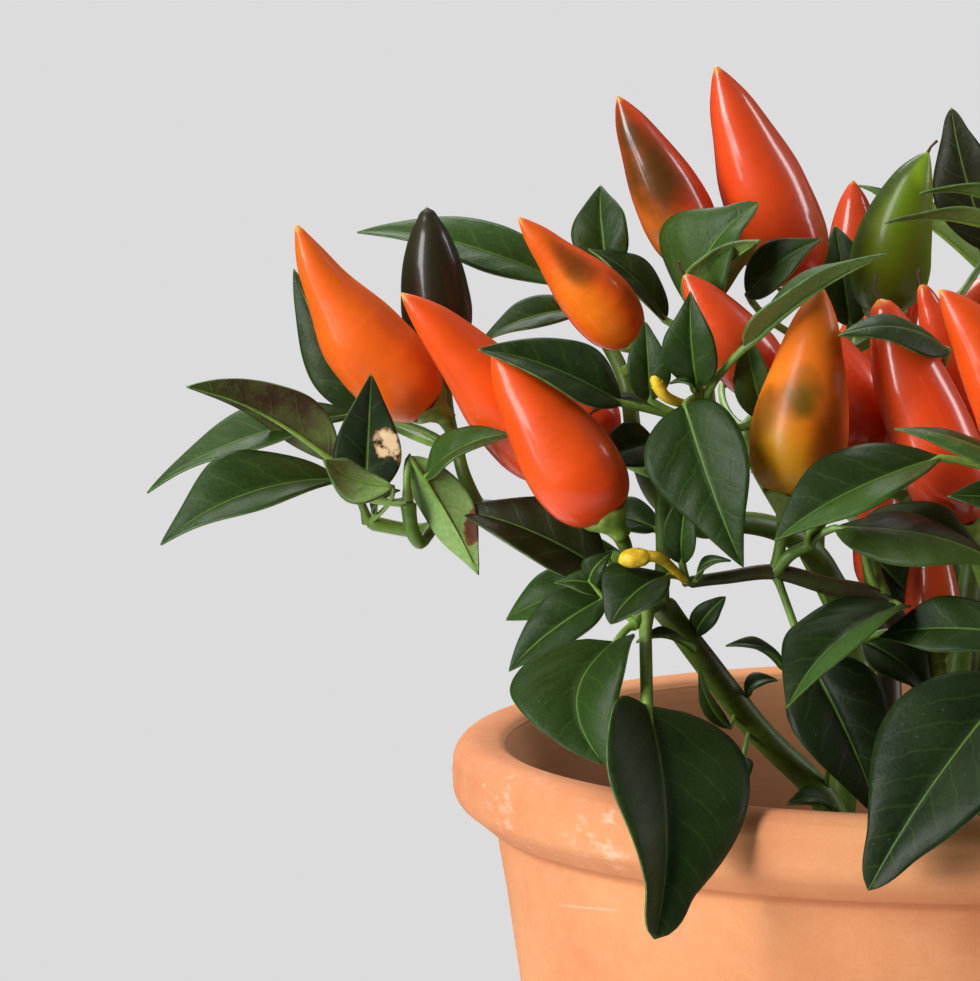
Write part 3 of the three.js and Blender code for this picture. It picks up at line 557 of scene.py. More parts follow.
def write_uv(piece, name, values):
    """One pair of numbers for each vertex, as a UV map"""
    corners = np.zeros(len(piece.data.loops), int)
    piece.data.loops.foreach_get("vertex_index", corners)
    layer = piece.data.uv_layers.new(name=name)
    layer.uv.foreach_set("vector", np.array(values, dtype=np.float32)[corners].ravel())


def drawn_rings(name, sides, rings):
    """A ring drawn up through so many others, closed to a pole at each end, whose height counts the rings"""
    deselect()
    bpy.ops.mesh.primitive_circle_add(vertices=sides, radius=1, fill_type="NOTHING")
    piece = bpy.context.object
    piece.name = name
    edit_all()
    for _ in range(rings + 1):
        bpy.ops.mesh.extrude_region_move(TRANSFORM_OT_translate={"value": (0, 0, 1)})
    bpy.ops.mesh.merge(type="CENTER")
    bpy.ops.mesh.select_all(action="DESELECT")
    bpy.ops.object.mode_set(mode="OBJECT")
    for vertex in piece.data.vertices:
        vertex.select = vertex.co.z < 0.5
    bpy.ops.object.mode_set(mode="EDIT")
    bpy.ops.mesh.extrude_region_move(TRANSFORM_OT_translate={"value": (0, 0, -1)})
    bpy.ops.mesh.merge(type="CENTER")
    face_outward()
    bpy.ops.object.shade_smooth()
    return piece


def turned_body(name, outline, sides):
    """A body turned on a wheel: a ring at the outline's first point is drawn through the others"""
    deselect()
    bpy.ops.mesh.primitive_circle_add(vertices=sides, radius=outline[0][0] * MM, fill_type="NGON",
                                      location=(0, 0, outline[0][1] * MM))
    bpy.ops.object.transform_apply(location=True, rotation=False, scale=False)
    piece = bpy.context.object
    piece.name = name
    edit_all()
    for (radius, height), (next_radius, next_height) in zip(outline, outline[1:]):
        rise = (next_height - height) * MM
        bpy.ops.mesh.extrude_region_move(TRANSFORM_OT_translate={"value": (0, 0, rise)})
        spread = next_radius / radius
        bpy.ops.transform.resize(value=(spread, spread, 1), center_override=(0, 0, next_height * MM))
    face_outward()
    return piece


def strand_piece(name, strands, materials):
    """Round strands: each is its points, its radii and the number of its material"""
    curve = bpy.data.curves.new(name, "CURVE")
    curve.dimensions = "3D"
    curve.bevel_depth = MM
    curve.bevel_resolution = 3
    curve.use_fill_caps = True
    for material in materials:
        curve.materials.append(material)
    for points, radii, number in strands:
        spline = curve.splines.new("POLY")
        spline.points.add(len(points) - 1)
        spline.material_index = number
        for knot, place, radius in zip(spline.points, points, radii):
            knot.co = (*(place * MM), 1)
            knot.radius = radius
    piece = bpy.data.objects.new(name, curve)
    bpy.context.collection.objects.link(piece)
    select_only(piece)
    bpy.ops.object.convert(target="MESH")
    piece = bpy.context.object
    bpy.ops.object.shade_smooth()
    return piece


def give(piece, *materials):
    piece.data.materials.clear()
    for material in materials:
        piece.data.materials.append(material)


def finished(piece, slot, *nodes):
    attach(piece, "root")
    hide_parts(*nodes)


# Materials
SOFT = "SMOOTHSTEP"


def new_material(name):
    """An empty material, its node tree, and the object's own coordinates in it"""
    material = bpy.data.materials.new(name)
    material.use_nodes = True
    tree = material.node_tree
    tree.nodes.clear()
    return material, tree, add(tree, "TexCoord").outputs["Object"]


def add(tree, kind, inputs=None, **settings):
    """Adds a shader node. An input that is a node or a socket is linked, and any other sets its value."""
    made = tree.nodes.new("ShaderNode" + kind)
    for name, value in settings.items():
        setattr(made, name, value)
    sockets = [socket for socket in made.inputs if socket.enabled]
    for key, value in (inputs or {}).items():
        socket = sockets[key] if isinstance(key, int) else next(s for s in sockets if s.name == key)
        if isinstance(value, bpy.types.Node):
            value = next(s for s in value.outputs if s.enabled)
        if isinstance(value, bpy.types.NodeSocket):
            tree.links.new(value, socket)
        else:
            socket.default_value = value
    return made


def summed(tree, total, *terms):
    """The total, to which each term adds its value times its weight"""
    for value, weight in terms:
        total = add(tree, "Math", {0: value, 1: weight, 2: total}, operation="MULTIPLY_ADD")
    return total


def off(tree, value, level):
    """How far a value is from a level, to either side"""
    beyond = add(tree, "Math", {0: value, 1: level}, operation="SUBTRACT")
    return add(tree, "Math", {0: beyond}, operation="ABSOLUTE")


def painted(tree, colour, paint, value, start, full, strength=1.0, ramp="LINEAR"):
    """The colour under a paint that sets in where the value is at start and has its strength at full"""
    share = add(tree, "MapRange", {"Value": value, "From Min": start, "From Max": full, "To Max": strength},
                interpolation_type=ramp)
    return add(tree, "Mix", {"Factor": share, "A": colour, "B": paint}, data_type="RGBA")


def shaded(tree, colour, value, low, high, dark, light):
    """The colour times a tone that goes from dark to light as the value goes from low to high"""
    tone = add(tree, "MapRange", {"Value": value, "From Min": low, "From Max": high, "To Min": dark,
                                  "To Max": light})
    return add(tree, "Mix", {"Factor": 1.0, "A": colour, "B": tone}, data_type="RGBA", blend_type="MULTIPLY")


def surface(tree, height, strength, reach, inputs):
    """The skin itself, with its height as a bump that reaches so many millimetres"""
    bump = add(tree, "Bump", {"Height": height, "Strength": strength, "Distance": reach * MM})
    add(tree, "OutputMaterial", {"Surface": add(tree, "BsdfPrincipled", {"Normal": bump, **inputs})})


def terracotta(pot):
    """Terracotta, pressed in a turning mould and fired unglazed: matt, chalky and softly clouded, with faint
    turning lines, and lime and scuffs on the roll"""
    material, tree, here = new_material("Terracotta")
    clouds = add(tree, "TexNoise", {"Vector": here, "Scale": 1 / (42 * MM), "Detail": 3.0})
    mottle = add(tree, "TexNoise", {"Vector": here, "Scale": 1 / (4 * MM), "Detail": 5.0, "Roughness": 0.6})
    grit = add(tree, "TexNoise", {"Vector": here, "Scale": 1 / (0.7 * MM), "Detail": 2.0})
    colour = painted(tree, pot.deep_clay, pot.clay, clouds, 0.35, 0.68, ramp=SOFT)
    colour = painted(tree, colour, pot.pale_clay, mottle, 0.42, 0.75, 0.22)
    colour = shaded(tree, colour, grit, 0.2, 0.8, 0.96, 1.04)
    # Lime and scuffs lie in short level streaks at two places on the front left of the roll.
    stretched = add(tree, "Mapping", {"Vector": here, "Scale": (1, 1, 2.2)})
    streaks = add(tree, "TexNoise", {"Vector": stretched, "Scale": 1 / (6 * MM), "Detail": 6.0,
                                     "Roughness": 0.68, "Distortion": 0.15})
    left, right = (add(tree, "VectorMath", {0: here, 1: scuff}, operation="DISTANCE") for scuff in SCUFFS)
    nearest = add(tree, "Math", {0: left.outputs["Value"], 1: right.outputs["Value"]}, operation="MINIMUM")
    nearness = add(tree, "MapRange", {"Value": nearest, "From Min": 14 * MM, "From Max": 2 * MM,
                                      "To Max": 0.2})
    lime = add(tree, "Math", {0: streaks, 1: nearness}, operation="ADD")
    colour = painted(tree, colour, pot.lime, lime, 0.66, 0.86, 0.5)
    # A long scratch runs round the front left under the roll, and painted shade darkens the groove under the
    # roll.
    level = add(tree, "SeparateXYZ", {0: here}).outputs["Z"]
    turned = add(tree, "VectorMath", {0: here, 1: (-1, -1, 1)}, operation="MULTIPLY")
    spot = add(tree, "SeparateXYZ", {0: turned})
    round_at = add(tree, "Math", {0: spot.outputs["Y"], 1: spot.outputs["X"]}, operation="ARCTAN2")
    climb = summed(tree, level, (round_at, -9.5 * MM))
    scratch = add(tree, "MapRange", {"Value": off(tree, climb, SCRATCH_HEIGHT * MM), "From Min": 0.35 * MM,
                                     "From Max": 0.05 * MM})
    within = add(tree, "MapRange", {"Value": off(tree, round_at, 0.61), "From Min": 0.14, "From Max": 0.06,
                                    "To Max": 0.28})
    scratch = add(tree, "Math", {0: scratch, 1: within}, operation="MULTIPLY")
    colour = add(tree, "Mix", {"Factor": scratch, "A": colour, "B": pot.lime}, data_type="RGBA")
    # Painted shade: a darker, redder band along the groove where the roll meets the body
    off_groove = off(tree, level, (GROOVE_HEIGHT - 0.2) * MM)
    colour = painted(tree, colour, linear(0xB2663E), off_groove, 1.6 * MM, 0.2 * MM, 0.5, SOFT)
    # Painted shade: the inside is painted darker and browner, where the radius falls short of the outer
    # wall's.
    flat = add(tree, "VectorMath", {0: here, 1: (1, 1, 0)}, operation="MULTIPLY")
    radius = add(tree, "VectorMath", {0: flat}, operation="LENGTH").outputs["Value"]
    outer = summed(tree, FOOT_RADIUS * MM, (level, (GROOVE_RADIUS - FOOT_RADIUS) / GROOVE_HEIGHT))
    sunk = add(tree, "Math", {0: outer, 1: radius}, operation="SUBTRACT")
    colour = painted(tree, colour, pot.inside_shade_clay, sunk, 2 * MM, 4.5 * MM, 0.8, SOFT)
    # The mould turned fine level lines into the clay, and left a faint ridge round the roll's shoulder.
    turning = summed(tree, 0.0, (level, 2 * math.pi / (2.6 * MM)), (clouds, 14.0))
    turning = add(tree, "Math", {0: turning}, operation="SINE")
    ridge = add(tree, "MapRange", {"Value": off(tree, level, RIDGE_HEIGHT * MM), "From Min": 0.45 * MM,
                                   "From Max": 0.0, "To Max": 2.0}, interpolation_type=SOFT)
    relief = summed(tree, grit, (turning, 0.25), (mottle, 0.8), (ridge, 1.0))
    surface(tree, relief, 0.35, 0.12, {"Base Color": colour, "Roughness": 0.82, "Specular IOR Level": 0.28})
    return material


def crumbly(name, colour, paler, size, roughness):
    """Peat, bark or perlite, crumbled and dried on top: matt and uneven, darker in its pits"""
    material, tree, here = new_material(name)
    lumps = add(tree, "TexNoise", {"Vector": here, "Scale": 1 / (size * MM), "Detail": 6.0,
                                   "Roughness": 0.7})
    blend = painted(tree, colour, paler, lumps, 0.35, 0.7)
    surface(tree, lumps, 0.9, 0.5, {"Base Color": blend, "Roughness": roughness})
    return material


def vein_pattern(tree):
    """The midrib, the side veins that leave it forward in turn, and the fine net between them, from the
    blade's own map in centimetres"""
    blade = add(tree, "UVMap", uv_map="blade_size")
    size = add(tree, "SeparateXYZ", {0: blade})
    share = add(tree, "SeparateXYZ", {0: add(tree, "UVMap", uv_map="blade")})
    aside = add(tree, "Math", {0: size.outputs["X"]}, operation="ABSOLUTE")
    taper = summed(tree, 0.8, (share.outputs["Y"], 1.6))
    tapered = add(tree, "Math", {0: aside, 1: taper}, operation="MULTIPLY")
    midrib = add(tree, "MapRange", {"Value": tapered, "From Min": 0.052, "From Max": 0.016},
                 interpolation_type=SOFT)
    wander = add(tree, "TexNoise", {"Vector": blade, "Scale": 1.6, "Detail": 2.0})
    square = add(tree, "Math", {0: aside, 1: aside}, operation="MULTIPLY")
    forward = summed(tree, size.outputs["Y"], (aside, -VEIN_SLANT), (square, -10 * VEIN_BEND), (wander, 0.35))
    half = add(tree, "Math", {0: size.outputs["X"], 1: 0.0}, operation="GREATER_THAN")
    turn = summed(tree, 0.0, (forward, 10 / VEIN_SPACING), (half, VEIN_SHIFT))
    apart = add(tree, "Math", {0: turn, 1: 0.5}, operation="PINGPONG")
    line = add(tree, "MapRange", {"Value": apart, "From Min": 0.08, "From Max": 0.0}, interpolation_type=SOFT)
    inside = add(tree, "MapRange", {"Value": off(tree, share.outputs["X"], 0.5), "From Min": 0.47,
                                    "From Max": 0.3}, interpolation_type=SOFT)
    side_veins = add(tree, "Math", {0: line, 1: inside}, operation="MULTIPLY")
    cells = add(tree, "TexVoronoi", {"Vector": blade, "Scale": 6.5}, feature="DISTANCE_TO_EDGE")
    net = add(tree, "MapRange", {"Value": cells.outputs["Distance"], "From Min": 0.1, "From Max": 0.0},
              interpolation_type=SOFT)
    return midrib, side_veins, net


def leaf_skin(name, plant, colour, young, dead, vein_share, relief, roughness):
    """A leaf's waxy skin: satin and dark above, matt and paler below. Its light veins are sunk above and
    raised below, and it has clouds of lighter and darker green."""
    material, tree, here = new_material(name)
    midrib, side_veins, net = vein_pattern(tree)
    clouds = add(tree, "TexNoise", {"Vector": here, "Scale": 1 / (9 * MM), "Detail": 4.0, "Roughness": 0.6})
    # Painted light and shade: the tone attribute mixes toward the lighter green both for new growth and to
    # paint lit leaves and lit halves lighter, shaded ones darker.
    fresh_and_lit = add(tree, "Attribute", attribute_name="young").outputs["Fac"]
    fresh_and_lit = add(tree, "Math", {0: summed(tree, fresh_and_lit, (clouds, 0.5)), 1: 0.25}, operation="SUBTRACT",
                use_clamp=True)
    green = add(tree, "Mix", {"Factor": fresh_and_lit, "A": colour, "B": young}, data_type="RGBA")
    # The skin's fine grain, drawn about three times as coarse as it is so that it shows
    grain = add(tree, "TexNoise", {"Vector": here, "Scale": 1 / (0.8 * MM), "Detail": 3.0, "Roughness": 0.65})
    green = shaded(tree, green, grain, 0.25, 0.75, 0.78, 1.25)
    flush = add(tree, "Attribute", attribute_name="purple").outputs["Fac"]
    patchy = add(tree, "MapRange", {"Value": clouds, "From Min": 0.3, "From Max": 0.6, "To Min": 0.45})
    flush = add(tree, "Math", {0: flush, 1: patchy}, operation="MULTIPLY")
    green = add(tree, "Mix", {"Factor": flush, "A": green, "B": plant.purple}, data_type="RGBA")
    lines = summed(tree, 0.0, (side_veins, 0.12), (net, 0.02))
    lines = add(tree, "Math", {0: lines, 1: midrib}, operation="MAXIMUM")
    lines = add(tree, "Math", {0: lines, 1: vein_share}, operation="MULTIPLY")
    green = add(tree, "Mix", {"Factor": lines, "A": green, "B": plant.vein}, data_type="RGBA")
    # Dust and tiny scars, drawn about twice as large as they are so that they show
    dust = add(tree, "TexVoronoi", {"Vector": here, "Scale": 1 / (2.4 * MM)}, feature="F1")
    green = painted(tree, green, linear(0x9AAE8C), dust.outputs["Distance"], 0.09, 0.04, 0.16)
    # A dead patch is torn along its edge, and darker there.
    dry = add(tree, "Attribute", attribute_name="dead").outputs["Fac"]
    torn = add(tree, "TexNoise", {"Vector": here, "Scale": 1 / (2.5 * MM), "Detail": 4.0})
    patch = add(tree, "Math", {0: summed(tree, -1.1, (torn, 4.6)), 1: dry}, operation="MULTIPLY")
    tan = painted(tree, linear(0x7A4E30), linear(dead), patch, 0.45, 0.75)
    green = painted(tree, green, tan, patch, 0.42, 0.47)
    height = summed(tree, midrib, (side_veins, 0.28), (net, 0.05))
    height = add(tree, "Math", {0: height, 1: relief}, operation="MULTIPLY")
    height = summed(tree, height, (clouds, 1.6), (grain, 0.9))
    rough = add(tree, "MapRange", {"Value": clouds, "From Min": 0.3, "From Max": 0.7,
                                   "To Min": roughness - 0.05, "To Max": roughness + 0.08})
    surface(tree, height, 0.4, 0.25, {"Base Color": green, "Roughness": rough, "Specular IOR Level": 0.24})
    return material


def stem_skin(name, colour, flush_colour, flush_share, roughness):
    """The smooth, faintly ribbed skin of a stem: green with long streaks and a purple flush on older wood"""
    material, tree, here = new_material(name)
    blotches = add(tree, "TexNoise", {"Vector": here, "Scale": 1 / (12 * MM), "Detail": 3.0})
    fine = add(tree, "TexNoise", {"Vector": here, "Scale": 1 / (1.2 * MM), "Detail": 4.0})
    blend = painted(tree, colour, flush_colour, blotches, 0.42, 0.62, flush_share, SOFT)
    blend = shaded(tree, blend, fine, 0.25, 0.75, 0.82, 1.18)
    surface(tree, fine, 0.4, 0.2, {"Base Color": blend, "Roughness": roughness})
    return material


def chilli_skin(name, gloss, body, foot, tip, *patches):
    """A chilli's thin waxy skin over wet flesh: glossy, evenly coloured where it is ripe and clouded with the
    old green where it turns. A patch is its colour, and its middle and reach round the fruit and along it."""
    material, tree, here = new_material(name)
    skin_map = add(tree, "UVMap", uv_map="skin")
    spot = add(tree, "SeparateXYZ", {0: skin_map})
    clouds = add(tree, "TexNoise", {"Vector": here, "Scale": 1 / (11 * MM), "Detail": 3.0})
    pores = add(tree, "TexNoise", {"Vector": here, "Scale": 1 / (0.8 * MM), "Detail": 2.0})
    colour = painted(tree, body, foot, spot.outputs["Y"], 0.42, 0.02, 0.8, SOFT)
    for patch_colour, (round_at, along_at, round_reach, along_reach, strength) in patches:
        away = 0.0
        for side, middle, reach in (("X", round_at, round_reach), ("Y", along_at, along_reach)):
            beyond = add(tree, "Math", {0: spot.outputs[side], 1: middle}, operation="SUBTRACT")
            beyond = add(tree, "Math", {0: beyond, 1: reach}, operation="DIVIDE")
            away = summed(tree, away, (beyond, beyond))
        away = summed(tree, away, (clouds, 1.4))
        colour = painted(tree, colour, patch_colour, away, 1.75, 0.65, strength, SOFT)
    colour = shaded(tree, colour, clouds, 0.3, 0.7, 0.9, 1.08)
    colour = painted(tree, colour, tip, spot.outputs["Y"], 0.97, 0.998, 0.8)
    # Shallow wrinkles run round the fruit about every 4 mm and break its highlight.
    round_map = add(tree, "Mapping", {"Vector": skin_map, "Scale": (3, 11, 1)})
    wrinkles = add(tree, "TexNoise", {"Vector": round_map, "Scale": 1.0, "Detail": 2.0, "Distortion": 0.4})
    height = summed(tree, clouds, (pores, 0.05), (wrinkles, 0.4))
    surface(tree, height, 0.5, 0.8, {
        "Base Color": colour, "Roughness": 0.45, "Coat Weight": gloss, "Coat Roughness": 0.16,
        "Specular IOR Level": 0.25, "Subsurface Weight": 0.08, "Subsurface Scale": 1.5 * MM,
        "Subsurface Radius": (1.0, 0.35, 0.15)})
    return material


def plain_growth(name, colour, shade, size, roughness):
    """Calyx, withered petal, dry style or leaf margin: soft growth, mottled between two tones"""
    material, tree, here = new_material(name)
    mottle = add(tree, "TexNoise", {"Vector": here, "Scale": 1 / (size * MM), "Detail": 4.0})
    blend = painted(tree, linear(colour), linear(shade), mottle, 0.35, 0.65)
    surface(tree, mottle, 0.5, 0.25, {"Base Color": blend, "Roughness": roughness})
    return material


# The pot and its soil
def wall_radius(height):
    return FOOT_RADIUS + (GROOVE_RADIUS - FOOT_RADIUS) * height / GROOVE_HEIGHT


SOIL_RADIUS = wall_radius(SOIL_TOP) - WALL - SEAT_GAP


def arc(across, up, radius, turns):
    """Points round a middle, at these turns in degrees"""
    angles = [math.radians(turn) for turn in turns]
    return [(across + radius * math.cos(angle), up + radius * math.sin(angle)) for angle in angles]


def pot_outline():
    """From the middle of the foot, up the outside, over the roll and down the inside to the floor"""
    roll = ROLL_HEIGHT * 0.3
    across, up = POT_RADIUS - roll, POT_HEIGHT - roll
    outline = [(HUB_RADIUS, 0), (FOOT_RADIUS - 3, 0), (FOOT_RADIUS - 1, 0.5), (FOOT_RADIUS - 0.2, 1.4)]
    for step in range(1, OUTER_STEPS):
        height = GROOVE_HEIGHT * step / OUTER_STEPS
        outline.append((wall_radius(height), height))
    outline += [(GROOVE_RADIUS - 0.35, GROOVE_HEIGHT - 4), (GROOVE_RADIUS - 0.05, GROOVE_HEIGHT - 1),
                (GROOVE_RADIUS + 0.15, GROOVE_HEIGHT - 0.2), (GROOVE_RADIUS + 0.7, GROOVE_HEIGHT + 0.3),
                (GROOVE_RADIUS + 2.6, GROOVE_HEIGHT + 0.75)]
    outline += arc(across, up - ROLL_SINK, roll, range(-62, 0, 10))
    outline += [(POT_RADIUS, up - ROLL_SINK + 0.4), (POT_RADIUS + 0.1, up - 1.6), (POT_RADIUS - 0.12, up)]
    outline += arc(across, up, roll, range(8, 92, 8))
    outline += [(MOUTH_RADIUS + 3, POT_HEIGHT - 0.25), (MOUTH_RADIUS + 1, POT_HEIGHT - 1.2),
                (MOUTH_RADIUS, POT_HEIGHT - 3), (wall_radius(GROOVE_HEIGHT) - WALL + 1, POT_HEIGHT - 9),
                (wall_radius(GROOVE_HEIGHT - 6) - WALL, GROOVE_HEIGHT - 6)]
    for step in range(INNER_STEPS - 1, 0, -1):
        height = FLOOR + (GROOVE_HEIGHT - 6 - FLOOR) * step / INNER_STEPS
        outline.append((wall_radius(height) - WALL, height))
    outline += [(wall_radius(FLOOR) - WALL - 0.6, FLOOR + 0.6), (wall_radius(FLOOR) - WALL - 3, FLOOR),
                (HUB_RADIUS, FLOOR)]
    return outline


class CHILLI_OT_pot(bpy.types.Operator):
    """Turn the clay pot with its rolled rim, and bore its drainage holes"""
    bl_idname = "chilli.pot"
    bl_label = "Clay Pot"

    def execute(self, context):
        settings = context.scene.chilli_look.pot
        piece = turned_body("terracotta_pot", pot_outline(), settings.sides)
        for i in range(DRAINS):
            angle = 2 * math.pi * (i + 0.5) / DRAINS
            spot = (DRAIN_CIRCLE * math.cos(angle) * MM, DRAIN_CIRCLE * math.sin(angle) * MM, 0)
            deselect()
            bpy.ops.mesh.primitive_cylinder_add(vertices=32, radius=DRAIN_RADIUS * MM, depth=6 * FLOOR * MM,
                                                location=spot)
            drill = context.object
            apply_modifier(piece, "BOOLEAN", operation="DIFFERENCE", object=drill, solver="EXACT")
            remove(drill)
        select_only(piece)
        bpy.ops.object.shade_smooth_by_angle(angle=math.radians(40))
        give(piece, terracotta(settings))
        finished(piece, "pot_clay", "pot")
        return {"FINISHED"}


def soil_outline():
    low = FLOOR + SEAT_GAP
    outline = [(HUB_RADIUS, low), (wall_radius(low) - WALL - SEAT_GAP, low)]
    for step in range(1, BED_STEPS + 1):
        height = low + (SOIL_TOP - low) * step / BED_STEPS
        outline.append((wall_radius(height) - WALL - SEAT_GAP, height))
    for ring in range(1, BED_RINGS):
        radius = SOIL_RADIUS * (1 - ring / BED_RINGS)
        outline.append((max(radius, 2.5), SOIL_TOP + SOIL_MOUND * (1 - (radius / SOIL_RADIUS) ** 2)))
    return outline


def soil_rise(x, y):
    """How far the soil's uneven top stands above its mound, in metres. Each wave is where its noise starts,
    how fine it is and how high."""
    waves = [noise.noise(Vector((x, y, start)) * fineness) * rise for start, fineness, rise in SOIL_WAVES]
    return (sum(waves) - 0.6) * MM


def soil_height(x, y):
    mound = 1 - (math.hypot(x, y) / (SOIL_RADIUS * MM)) ** 2
    return SOIL_TOP * MM + SOIL_MOUND * MM * mound + soil_rise(x, y)


def crumb_master(name, cuts, squash, rough=0.22):
    """One crumb: a ball of a few dozen faces, pulled out of round"""
    deselect()
    bpy.ops.mesh.primitive_ico_sphere_add(subdivisions=cuts, radius=1)
    piece = bpy.context.object
    piece.name = name
    edit_all()
    bpy.ops.transform.resize(value=squash, center_override=(0, 0, 0))
    bpy.ops.transform.vertex_random(offset=rough, uniform=0.3, normal=0.5, seed=4)
    bpy.ops.object.mode_set(mode="OBJECT")
    return piece


def scatter(master, name, count, smallest, largest, luck):
    """Copies of a crumb strewn over the soil inside the pot's wall"""
    copies = []
    reach = (wall_radius(SOIL_TOP) - WALL - 4) * MM
    for i in range(count):
        turn, radius = luck.uniform(0, 2 * math.pi), reach * math.sqrt(luck.random())
        x, y = radius * math.cos(turn), radius * math.sin(turn)
        size = luck.uniform(smallest, largest) * MM
        piece = copy_of(master, f"{name}_{i}")
        tumble = Matrix.Rotation(luck.uniform(0, 6.3), 4, "Z") @ Matrix.Rotation(luck.uniform(0, 6.3), 4, "X")
        place = Matrix.Translation((x, y, soil_height(x, y) + 0.2 * size))
        piece.data.transform(place @ tumble @ Matrix.Scale(size, 4))
        copies.append(piece)
    return joined(copies, name)


class CHILLI_OT_soil(bpy.types.Operator):
    """Fill the pot with peat soil, and strew crumbs, bark and perlite on it"""
    bl_idname = "chilli.soil"
    bl_label = "Potting Soil"

    def execute(self, context):
        settings = context.scene.chilli_look.soil
        peat = crumbly("Moist peat", settings.peat, linear(0x4A3628), 3, 0.95)
        bed = turned_body("soil_bed", soil_outline(), 96)
        for vertex in bed.data.vertices:
            x, y, z = vertex.co
            if z > (SOIL_TOP - 1) * MM:
                away = math.hypot(x, y) / MM
                settle = smooth(SOIL_RADIUS, ROUGH_SOIL_RADIUS, away)
                vertex.co.z += soil_rise(x, y) * settle
        select_only(bed)
        bpy.ops.object.shade_smooth_by_angle(angle=math.radians(60))
        give(bed, peat)
        finished(bed, "potting_soil", "soil")
        luck = random.Random(11)
        master = crumb_master("crumb", 2, (1, 0.8, 0.6))
        kinds = (("peat_crumbs", settings.crumbs, 0.8, 2.4, peat),
                 ("bark_chips", settings.crumbs // 4, 1.6, 3.4,
                  crumbly("Composted bark", settings.bark, linear(0x8A6A4A), 1.5, 0.9)),
                 ("perlite_grains", settings.grains, 0.9, 1.9,
                  crumbly("Perlite", settings.perlite, linear(0xF0EEE8), 0.8, 0.85)))
        for name, count, smallest, largest, material in kinds:
            if count > 0:
                strewn = scatter(master, name, count, smallest, largest, luck)
                give(strewn, material)
                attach(strewn, "root")
        remove(master)
        return {"FINISHED"}


# Leafy stems
def midrib_frame(one, share):
    """Where the midrib runs at this share of the blade, the way it runs, and its side and upper directions"""
    start = seen(one["foot"])
    reach = seen(one["tip"]) - start
    along = reach.normalized()
    side = Vector(one["face"]).cross(along).normalized()
    up = along.cross(side)
    length = reach.length
    curl = one["curl"] * CURL * length
    late = max(0, (share - CURL_FROM) / (1 - CURL_FROM))
    rise = 4 * one["arch"] * share * (1 - share) - curl * late**2
    slope = 4 * one["arch"] * (1 - 2 * share) - curl * 2 * late / (1 - CURL_FROM)
    forward = (along * length + up * slope).normalized()
    aside = side * (4 * one["sweep"] * share * (1 - share))
    middle = start + along * (length * share) + up * rise + aside
    return middle, forward, side, forward.cross(side).normalized(), length


def blade_outline(share, one):
    """A blade's half width as a share of its widest, from its foot to its tip"""
    skewed = share ** (math.log(0.5) / math.log(one["belly"]))
    full = math.sin(math.pi * min(1, max(0, skewed)))
    power = 1.35 - one["broad"] if share < one["belly"] else 0.95
    drawn = 1 - one["drawn"] * smooth(0.55, 0.9, share)
    blunt = 0.3 * one["blunt"] * math.sqrt(max(0, 1 - share)) * smooth(0.8, 1, share)
    return max(full**power * drawn + blunt, 0.05 * (1 - share))


def bend_blade(piece, one, luck):
    """Bends a flat blade to a leaf's place, with its fold, waved edge, sunk midrib and quilting"""
    wave_turn = luck.uniform(0, 2 * math.pi)
    uneven = [luck.uniform(0, 2 * math.pi) for _ in range(2)]
    fold = math.radians(one["fold"] + luck.uniform(-2, 2))
    width = one["width"]
    frames = {}
    places, blade_map, size_map, dead = [], [], [], []
    for vertex in piece.data.vertices:
        x, share = -vertex.co.x, (vertex.co.y + 1) / 2
        key = round(share * 1000)
        if key not in frames:
            frames[key] = (*midrib_frame(one, share), blade_outline(share, one) * width / 2)
        middle, _, level, over, length, half = frames[key]
        half *= 1 + UNEVEN * math.sin(9 * share + uneven[x > 0]) * abs(x)
        aside = abs(x)
        reach = aside * half
        swell = SWELL * half * aside * (1 - aside)
        wave = EDGE_WAVE * width * aside**1.5 * math.sin(8 * share + 1.6 * x + wave_turn) * half / width * 2
        vein_turn = (share * length - VEIN_SLANT * reach - VEIN_BEND * reach**2) / VEIN_SPACING
        vein_turn += VEIN_SHIFT * (x > 0)
        quilt = QUILT * half * math.sin(math.pi * aside) * -math.cos(2 * math.pi * vein_turn)
        groove = MIDRIB_DEPTH * math.exp(-((reach / MIDRIB_REACH) ** 2)) * smooth(0, 0.1, share) * (1 - share)
        lift = reach * math.sin(fold) + swell + wave + quilt - groove
        places.append((middle + level * (x * half * math.cos(fold)) + over * lift) * MM)
        blade_map.append(((x + 1) / 2, share))
        size_map.append((x * half / 10, share * length / 10))
        dead.append(0)
        if one["dead"]:
            across, along, span = one["dead"]
            dead[-1] = max(0, 1 - math.hypot((x - across) * half, (share - along) * length) / span)
    place_vertices(piece, places)
    write_uv(piece, "blade", blade_map)
    write_uv(piece, "blade_size", size_map)
    # Painted light: each leaf's tone also paints it lighter where it stands lit and darker where it stands in
    # shade, and the lit setting paints one half lighter still.
    tone = min(1, max(0, one["young"] + luck.uniform(-0.08, 0.08)))
    side = math.copysign(1, one["lit"])
    tones_and_lit = [tone + abs(one["lit"]) * smooth(0, 0.12, side * (2 * across - 1)) for across, _ in blade_map]
    write_attribute(piece, "young", tones_and_lit)
    write_attribute(piece, "purple", [one["purple"]] * len(places))
    write_attribute(piece, "dead", dead)


def blade_master(name, columns, rows):
    deselect()
    bpy.ops.mesh.primitive_grid_add(x_subdivisions=columns, y_subdivisions=rows, size=2, calc_uvs=False)
    piece = bpy.context.object
    piece.name = name
    bpy.ops.object.shade_smooth()
    return piece


